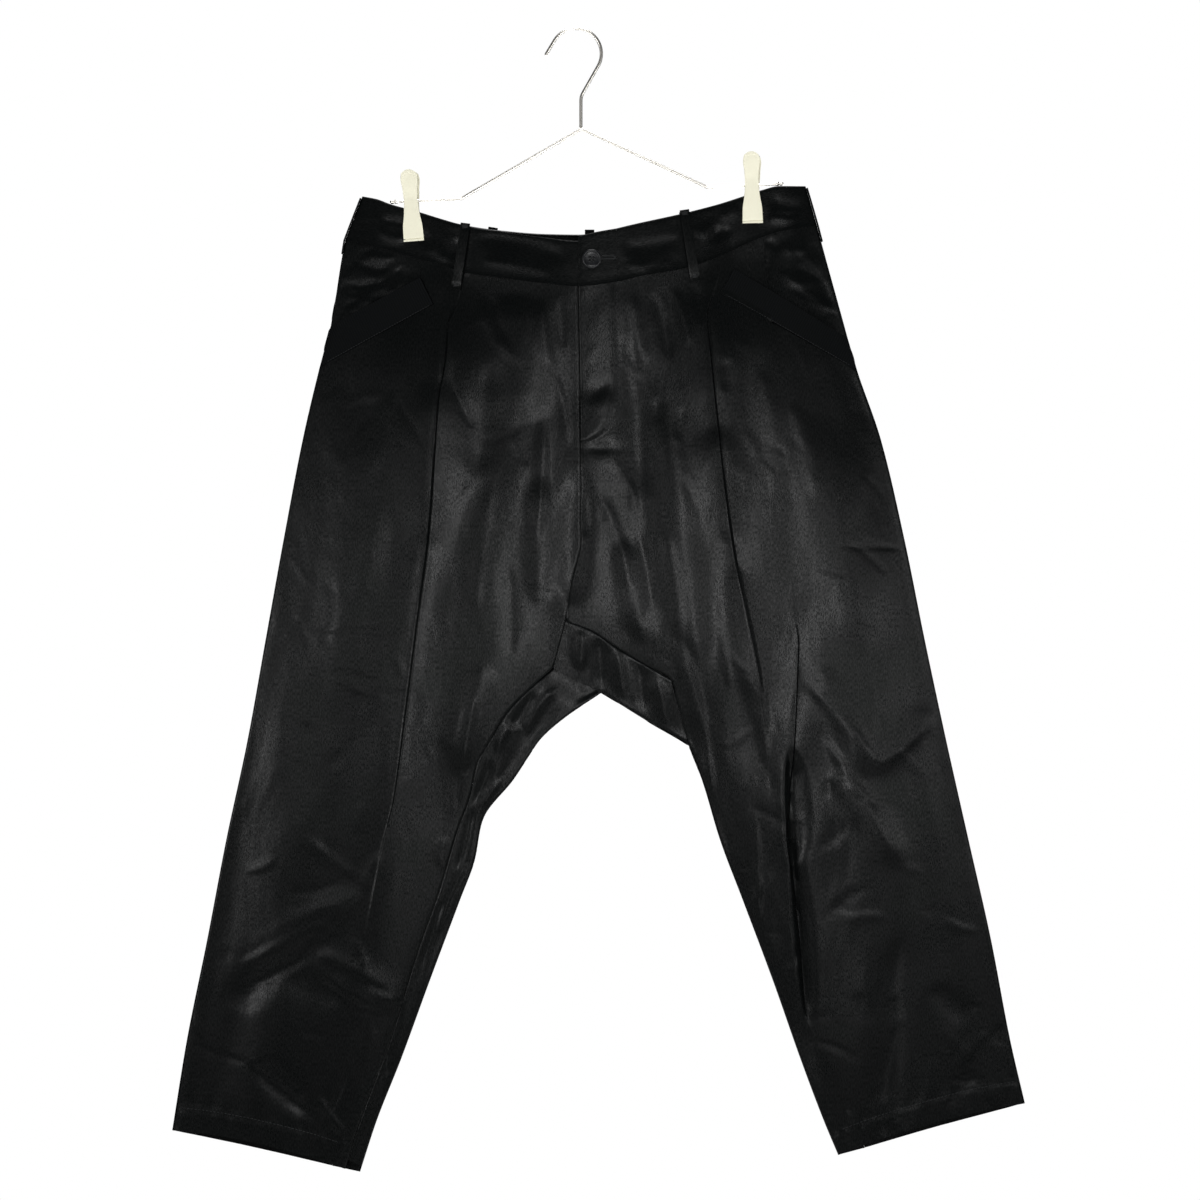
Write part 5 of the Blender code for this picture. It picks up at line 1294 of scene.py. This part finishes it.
def clip_jaw(name, top, low, way, slip):
    """Pressed plate of a clip: an arched top with a rolled lip, a waist, and a grooved foot.

    The back jaw sits askew beside the front one by slip, above where they grip the cloth.
    """
    top, down = np.array(top, float), np.array(low, float) - np.array(top, float)
    across = np.array([-down[1], down[0]]) / np.linalg.norm(down)
    across *= np.sign(across[0])
    shares = np.array([*np.linspace(0.0, 0.1, 12), *np.linspace(0.13, 0.93, 28), 0.945, 0.955, 0.96,
                       0.965, 0.972, 0.977, 0.982, 0.99, 1.0])
    places = np.array([-1.0, -1.0, -1.0, -0.985, -0.95, *np.linspace(-0.85, 0.85, 13), 0.95, 0.985,
                       1.0, 1.0, 1.0])
    turned_in = np.array([1.0, 0.5, 0.22, 0.06, 0.0, *[0.0] * 13, 0.0, 0.06, 0.22, 0.5, 1.0])
    half, out, flange = (curve_on(CLIP_PROFILE, shares, column) for column in (1, 2, 3))
    depth, place, width = TOP_LIP
    out = out + depth * (1.0 - smooth((shares - place) / width))
    depth, place, width = FOOT_GROOVE
    out -= depth * np.exp(-((shares - place) / width) ** 2)
    arch = CLIP_ARCH * (1.0 - smooth(shares / 0.3))[:, None] * places[None, :] ** 2
    aside = slip * smooth((0.62 - shares) / 0.3)[:, None]
    x, z = (top[axis] + down[axis] * shares[:, None] + across[axis] * half[:, None] * places
            + down[axis] / np.linalg.norm(down) * arch for axis in (0, 1))
    y = way * (out[:, None] - flange[:, None] * turned_in)
    return wall(name, np.stack([x + aside, y, z], axis=-1), CLIP_PLATE, PLATE, -way, True)


def clip_spring(name, top, low, side):
    """Coil spring round the hanger's bar, between a clip's jaws."""
    bar = FRAME_ROUTE[:2] if side == "right" else FRAME_ROUTE[-2:]
    middle_x = (top[0] + low[0]) / 2
    middle = np.array([middle_x, 0.0, z_on(bar, middle_x)])
    axis = np.array([bar[1][0] - bar[0][0], 0.0, bar[1][1] - bar[0][1]])
    axis /= np.linalg.norm(axis)
    other = np.cross(axis, (0.0, 1.0, 0.0))
    turns = np.linspace(0.0, math.tau * SPRING_TURNS, 24 * SPRING_TURNS + 1)[:, None]
    along = (turns / (math.tau * SPRING_TURNS) - 0.5) * SPRING_TURNS * SPRING_PITCH
    coil = middle + axis * along + SPRING_RADIUS * (
        np.cos(turns) * np.array([0.0, 1.0, 0.0]) + np.sin(turns) * other)
    return tube(name, coil, SPRING_WIRE, WIRE, 10)


def stitch_mesh(name, runs):
    """One piece of sewing thread: a small spindle for each (start, end, radius) in millimetres."""
    sides, shares, widths = 6, (0.12, 0.5, 0.88), (0.65, 1.0, 0.65)
    vertices, faces = [], []
    for start, end, radius in runs:
        start, end = np.array(start, float), np.array(end, float)
        way = (end - start) / np.linalg.norm(end - start)
        side = np.cross(way, (0.0, 1.0, 0.1))
        side /= np.linalg.norm(side)
        up = np.cross(way, side)
        faces += round_faces(len(vertices), len(shares), sides)
        vertices.append(start)
        for share, width in zip(shares, widths):
            vertices += ring(start + (end - start) * share, radius * width, side, up, sides)
        vertices.append(end)
    return mesh_object(name, vertices, faces, THREAD)


def stations_along(route, first, last_gap, pitch, reach=0.0):
    """Places along a route (x, z), a pitch apart. reach adds the end of a run from each place."""
    route = np.array(route, float)
    along = np.concatenate([[0.0], np.cumsum(np.hypot(*np.diff(route, axis=0).T))])
    keys = np.arange(first, along[-1] - last_gap, pitch)
    if reach:
        keys = np.stack([keys, keys + reach], axis=-1)
    return np.stack([np.interp(keys, along, route[:, axis]) for axis in (0, 1)], axis=-1)


def stitched(layer, route, pitch, lift, radius=0.3):
    """Stitches along a route (x, z) on a layer, as (start, end, radius). lift may follow x and z."""
    x, z = split(stations_along(route, pitch * 0.5, pitch, pitch, pitch * STITCH_SHARE))
    points = lay(layer, x, z, lift(x, z) if callable(lift) else lift)
    return [(start, end, radius) for start, end in points]


def hem_route(outer, inner, rise):
    """Line of stitching a hem's height above the edge of a leg, from side to side."""
    share = np.linspace(0.03, 0.97, 40)
    x = outer[0] + (inner[0] - outer[0]) * share
    z = outer[1] + (inner[1] - outer[1]) * share + rise * 4.0 * share * (1.0 - share)
    lean = HEM_LEAN * np.sign(outer[0] - inner[0])
    return np.stack([x - lean * HEM_STITCHING, z + HEM_STITCHING], axis=-1)


def sewing():
    """Stitching that shows: hems, the fly's curve, the pocket tapes' edges and the loops' tacks."""
    hems = []
    for layer, side, seam, rise in (("front", SIDE_RIGHT, GUSSET_SEAM_RIGHT, HEM_RISE),
                                    ("back", SIDE_RIGHT, BACK_SEAM_RIGHT, 0.0),
                                    ("front", SIDE_LEFT, INNER_FOLD_LEFT, HEM_RISE),
                                    ("back", SIDE_LEFT, BACK_SEAM_LEFT, 0.0)):
        hems += stitched(layer, hem_route(side[-1], seam[-1], rise), HEM_STITCH, 0.35)
    turn = np.linspace(0.0, 1.0, 30)
    curve_z = FLY_TURN + (FLY_END - FLY_TURN) * np.sin(turn * math.pi / 2.0)
    curve_x = x_on(CENTRE_FRONT, curve_z) + FLY_WIDTH * np.cos(turn * math.pi / 2.0)
    fly = [(x_on(CENTRE_FRONT, z) + FLY_WIDTH, z) for z in np.linspace(-232, FLY_TURN, 20)]
    fly_runs = stitched("front", [*fly, *zip(curve_x, curve_z)], STITCH, lambda x, z: lap(x, z) + 0.35)
    tapes = []
    for (x0, z0), (x1, z1) in (TAPE_RIGHT_LOWER, TAPE_LEFT_LOWER):
        route = [(x0 + (x1 - x0) * share, z0 + (z1 - z0) * share + 1.2)
                 for share in np.linspace(0.03, 0.95, 30)]
        tapes += stitched("front", route, STITCH, 0.9, 0.26)
    tacks = []
    for _, layer, x0, z0, x1, z1 in BELT_LOOPS:
        for share in (0.05, 0.93):
            x, z = x0 + (x1 - x0) * share, z0 + (z1 - z0) * share
            for step in np.linspace(-1.2, 1.2, 5):
                ends = (np.array([x - 3.0, x + 3.0]), np.array([z + step - 0.3, z + step + 0.3]))
                tacks.append((*lay(layer, *ends, LOOP_LIFT + 0.2), 0.32))
    return [stitch_mesh(f"stitches_{name}", runs) for name, runs in (
        ("hems", hems), ("fly", fly_runs), ("tapes", tapes), ("tacks", tacks))]


def fly_button():
    """Four-hole button with a rounded rim and a dished face, and the thread that holds it."""
    x, z = BUTTON_AT
    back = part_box("fly_button")[0][1] / MM + BUTTON_THICKNESS
    sides = 56
    vertices = [(x, back, z)]
    for radius, out in BUTTON_PROFILE[1:-1]:
        vertices += [(x + radius * math.cos(turn), back - out, z + radius * math.sin(turn))
                     for turn in np.arange(sides) * math.tau / sides]
    vertices.append((x, back - BUTTON_PROFILE[-1][1], z))
    faces = round_faces(0, len(BUTTON_PROFILE) - 2, sides)
    made = mesh_object("waist_button", vertices, faces, BUTTON, 50.0)
    holes = []
    for number in range(4):
        turn = math.tau * (number + BUTTON_TURN) / 4
        hole_x = x + BUTTON_HOLE_SPREAD * math.cos(turn)
        hole_z = z + BUTTON_HOLE_SPREAD * math.sin(turn)
        holes.append((hole_x, back - BUTTON_THREAD_LEVEL, hole_z))
        bpy.ops.object.select_all(action="DESELECT")
        bpy.ops.mesh.primitive_cylinder_add(
            vertices=20, radius=BUTTON_HOLE_RADIUS * MM, depth=8.0 * MM,
            location=(hole_x * MM, back * MM, hole_z * MM), rotation=(math.radians(90.0), 0.0, 0.0))
        drill = bpy.context.object
        hole = made.modifiers.new("hole", "BOOLEAN")
        hole.object = drill
        hole.solver = "EXACT"
        bpy.context.view_layer.objects.active = made
        bpy.ops.object.modifier_apply(modifier="hole")
        bpy.data.objects.remove(drill)
    return made, stitch_mesh("stitches_button", [(holes[0], holes[1], 0.55), (holes[2], holes[3], 0.55)])


def buttonhole():
    """Whipped edge of the buttonhole beside the button."""
    x0, x1, z, half = BUTTONHOLE
    turns = np.linspace(-math.pi / 2.0, math.pi / 2.0, 9)
    route = [(x1 + half * math.cos(turn), z + half * math.sin(turn)) for turn in turns]
    route += [(x0 - half * math.cos(turn), z - half * math.sin(turn)) for turn in turns]
    places = stations_along([*route, route[0]], 0.0, 0.0, WHIP_STITCH)
    way = places - np.stack([np.clip(places[:, 0], x0, x1), np.full(len(places), z)], axis=-1)
    way *= 0.8 / np.linalg.norm(way, axis=-1, keepdims=True)
    ends = np.stack([places - way, places + way], axis=1)
    points = lay("front", *split(ends), BAND_LIFT + LAP_LIFT + 0.3)
    return stitch_mesh("stitches_buttonhole", [(start, end, 0.34) for start, end in points])


def stands_for(piece, name):
    """The piece moves with the body and stands for a node, whose solid it hides."""
    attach(piece, "root")
    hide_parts(name)


front_right = front_panel_right()
front_left = front_panel_left()
back_right, back_left = back_panels()
gusset_right, gusset_left = gusset_legs()
crotch = gusset_crotch()
BANDS = band_right, band_left, fly_end, band_back = waistband()
yoke_right, yoke_left = hip_yokes()
tape_right, tape_left = pocket_tapes()
loops = belt_loops()

LOOP_CUT = (0.010, 0.066)
# Columns: piece, node, slot, cut width and length in metres, cut area where it isn't a rectangle
CLOTH_PIECES = [
    (front_right, "front_panel_right", "satin", (0.300, 0.820), 0.190),
    (front_left, "front_panel_left", "satin", (0.320, 0.820), 0.205),
    (back_right, "back_panel_right", "satin", (0.285, 0.830), 0.190),
    (back_left, "back_panel_left", "satin", (0.300, 0.830), 0.205),
    (gusset_right, "gusset_right_leg", "satin", (0.080, 0.480), 0.026),
    (gusset_left, "gusset_left_leg", "satin", (0.045, 0.470), 0.014),
    (crotch, "gusset_crotch", "satin", (0.055, 0.135), 0.0062),
    (band_right, "waistband_right", "satin", (0.044, 0.230), None),
    (band_left, "waistband_left", "satin", (0.046, 0.185), None),
    (fly_end, "waistband_fly_end", "satin", (0.046, 0.037), None),
    (band_back, "waistband_back", "satin", (0.044, 0.415), None),
    (yoke_right, "hip_yoke_right", "satin", (0.080, 0.075), 0.0038),
    (yoke_left, "hip_yoke_left", "satin", (0.100, 0.090), 0.0055),
    (tape_right, "pocket_tape_right", "ribbed_tape", (0.038, 0.118), 0.0034),
    (tape_left, "pocket_tape_left", "ribbed_tape", (0.034, 0.140), 0.0036),
    *[(piece, name, "satin", LOOP_CUT, None) for name, piece in loops.items()],
]
for piece, name, slot, cut, area in CLOTH_PIECES:
    stands_for(piece, name)

hook, frame_wire = hanger()
stands_for(hook, "hanger_hook")
stands_for(frame_wire, "hanger_frame")
for side, top_x, top_z, low_x, low_z in CLIPS:
    top, low = (top_x, top_z), (low_x, low_z)
    for face, way, slip in (("front", -1, 0.0), ("back", 1, JAW_SLIP)):
        jaw = clip_jaw(f"clip_{side}_{face}_plate", top, low, way, slip)
        stands_for(jaw, f"clip_{side}_{face}_jaw")
    stands_for(clip_spring(f"clip_{side}_coil", top, low, side), f"clip_{side}_spring")

button, button_thread = fly_button()
stands_for(button, "fly_button")
for piece in (button_thread, buttonhole(), *sewing()):
    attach(piece, "root")


def area_light(name, place, target, size, watts, tall=None):
    """A soft rectangular studio light at a place in metres, turned towards a target."""
    data = bpy.data.lights.new(name, "AREA")
    data.shape = "RECTANGLE"
    data.size = size
    data.size_y = tall or size
    data.energy = watts
    lamp = bpy.data.objects.new(name, data)
    bpy.context.scene.collection.objects.link(lamp)
    lamp.location = place
    lamp.visible_camera = False
    lamp.rotation_euler = (Vector(target) - Vector(place)).to_track_quat("-Z", "Y").to_euler()
    return lamp


IMAGE_CENTRE = (0.0213, -0.5067)    # x and z in metres that the camera looks at
IMAGE_WIDTH = 1.0668                # of the frame, in metres at the garment
CAMERA_DISTANCE = 4.0
SENSOR = 36.0
WHITE = (1.0, 1.0, 1.0, 1.0)
PALE_SKY = (0.93, 0.96, 1.0, 1.0)

camera_data = bpy.data.cameras.new("camera")
camera_data.sensor_width = SENSOR
camera_data.lens = SENSOR * CAMERA_DISTANCE / IMAGE_WIDTH
camera = bpy.data.objects.new("camera", camera_data)
camera.location = (IMAGE_CENTRE[0], -CAMERA_DISTANCE, IMAGE_CENTRE[1])
camera.rotation_euler = (math.radians(90.0), 0.0, 0.0)
bpy.context.scene.collection.objects.link(camera)
bpy.context.scene.camera = camera

# Studio: a pale floor below the trousers, a white surround, and soft boxes all round
FLOOR_SIZE = 3.2
FLOOR_AT = (0.02, 0.0, -1.35)
bpy.ops.object.select_all(action="DESELECT")
bpy.ops.mesh.primitive_plane_add(size=FLOOR_SIZE, location=FLOOR_AT)
floor = bpy.context.object
floor.name = "studio_floor"
floor.data.materials.append(finish_of("painted_floor_white", Base_Color=(*linear("e9e9e8"), 1.0),
                                      Roughness=0.7)[0])

world = bpy.data.worlds.new("studio")
world.use_nodes = True
bpy.context.scene.world = world
sky = world.node_tree
sky.nodes.clear()
ray = node(sky, "ShaderNodeLightPath")
seen = node(sky, "ShaderNodeBackground", inputs={"Color": WHITE, "Strength": 1.0})
lit = node(sky, "ShaderNodeBackground", inputs={"Color": PALE_SKY, "Strength": 0.03})
either = node(sky, "ShaderNodeMixShader", links={"Fac": ray.outputs["Is Camera Ray"]})
sky.links.new(lit.outputs["Background"], either.inputs[1])
sky.links.new(seen.outputs["Background"], either.inputs[2])
node(sky, "ShaderNodeOutputWorld", links={"Surface": either.outputs["Shader"]})
bpy.context.scene.view_settings.view_transform = "Standard"

# The front is lit by a grid of narrow boxes, which the satin mirrors as soft upright streaks.
# Columns: place across, share of the watts
FRONT_COLUMNS = [(-0.62, 0.42), (-0.36, 0.42), (-0.11, 0.3), (0.11, 1.65), (0.38, 0.6), (0.64, 0.6)]
# Columns: height, watts, height of the box
FRONT_ROWS = [(-0.23, 0.15, 0.22), (-0.53, 1.75, 0.34), (-0.88, 0.36, 0.3)]
STRIP = 0.12            # width of a front box
STRIP_DISTANCE = 0.85
INWARD = 0.8            # a box looks at the garment a little nearer its middle than where it stands
for column, (place_x, share) in enumerate(FRONT_COLUMNS):
    for row, (place_z, watts, tall) in enumerate(FRONT_ROWS):
        area_light(f"front_softbox_{column}_{row}", (place_x, -STRIP_DISTANCE, place_z),
                   (place_x * INWARD, 0.0, place_z), STRIP, watts * share, tall)
for column, place_x in enumerate((-0.5, -0.17, 0.17, 0.5)):
    area_light(f"back_softbox_{column}", (place_x, STRIP_DISTANCE, -0.55),
               (place_x * INWARD, 0.0, -0.55), 0.14, 3.0, 0.7)
# Columns: name, place, target, size, watts
for lamp in [("back_top_softbox", (0.0, 0.6, 1.4), (0.0, 0.0, -0.1), 1.2, 30.0),
             ("top_softbox", (0.0, -0.6, 1.4), (0.0, 0.0, -0.1), 1.2, 29.0),
             ("left_softbox", (1.15, -1.1, -0.58), (0.0, 0.0, -0.58), 0.4, 4.0),
             ("right_softbox", (-1.15, -1.1, -0.58), (0.0, 0.0, -0.58), 0.4, 8.0),
             ("left_bar_softbox", (1.6, -0.5, 0.1), (0.0, 0.0, -0.15), 0.9, 2.0),
             ("right_bar_softbox", (-1.6, -0.5, 0.1), (0.0, 0.0, -0.15), 0.9, 2.0)]:
    area_light(*lamp)
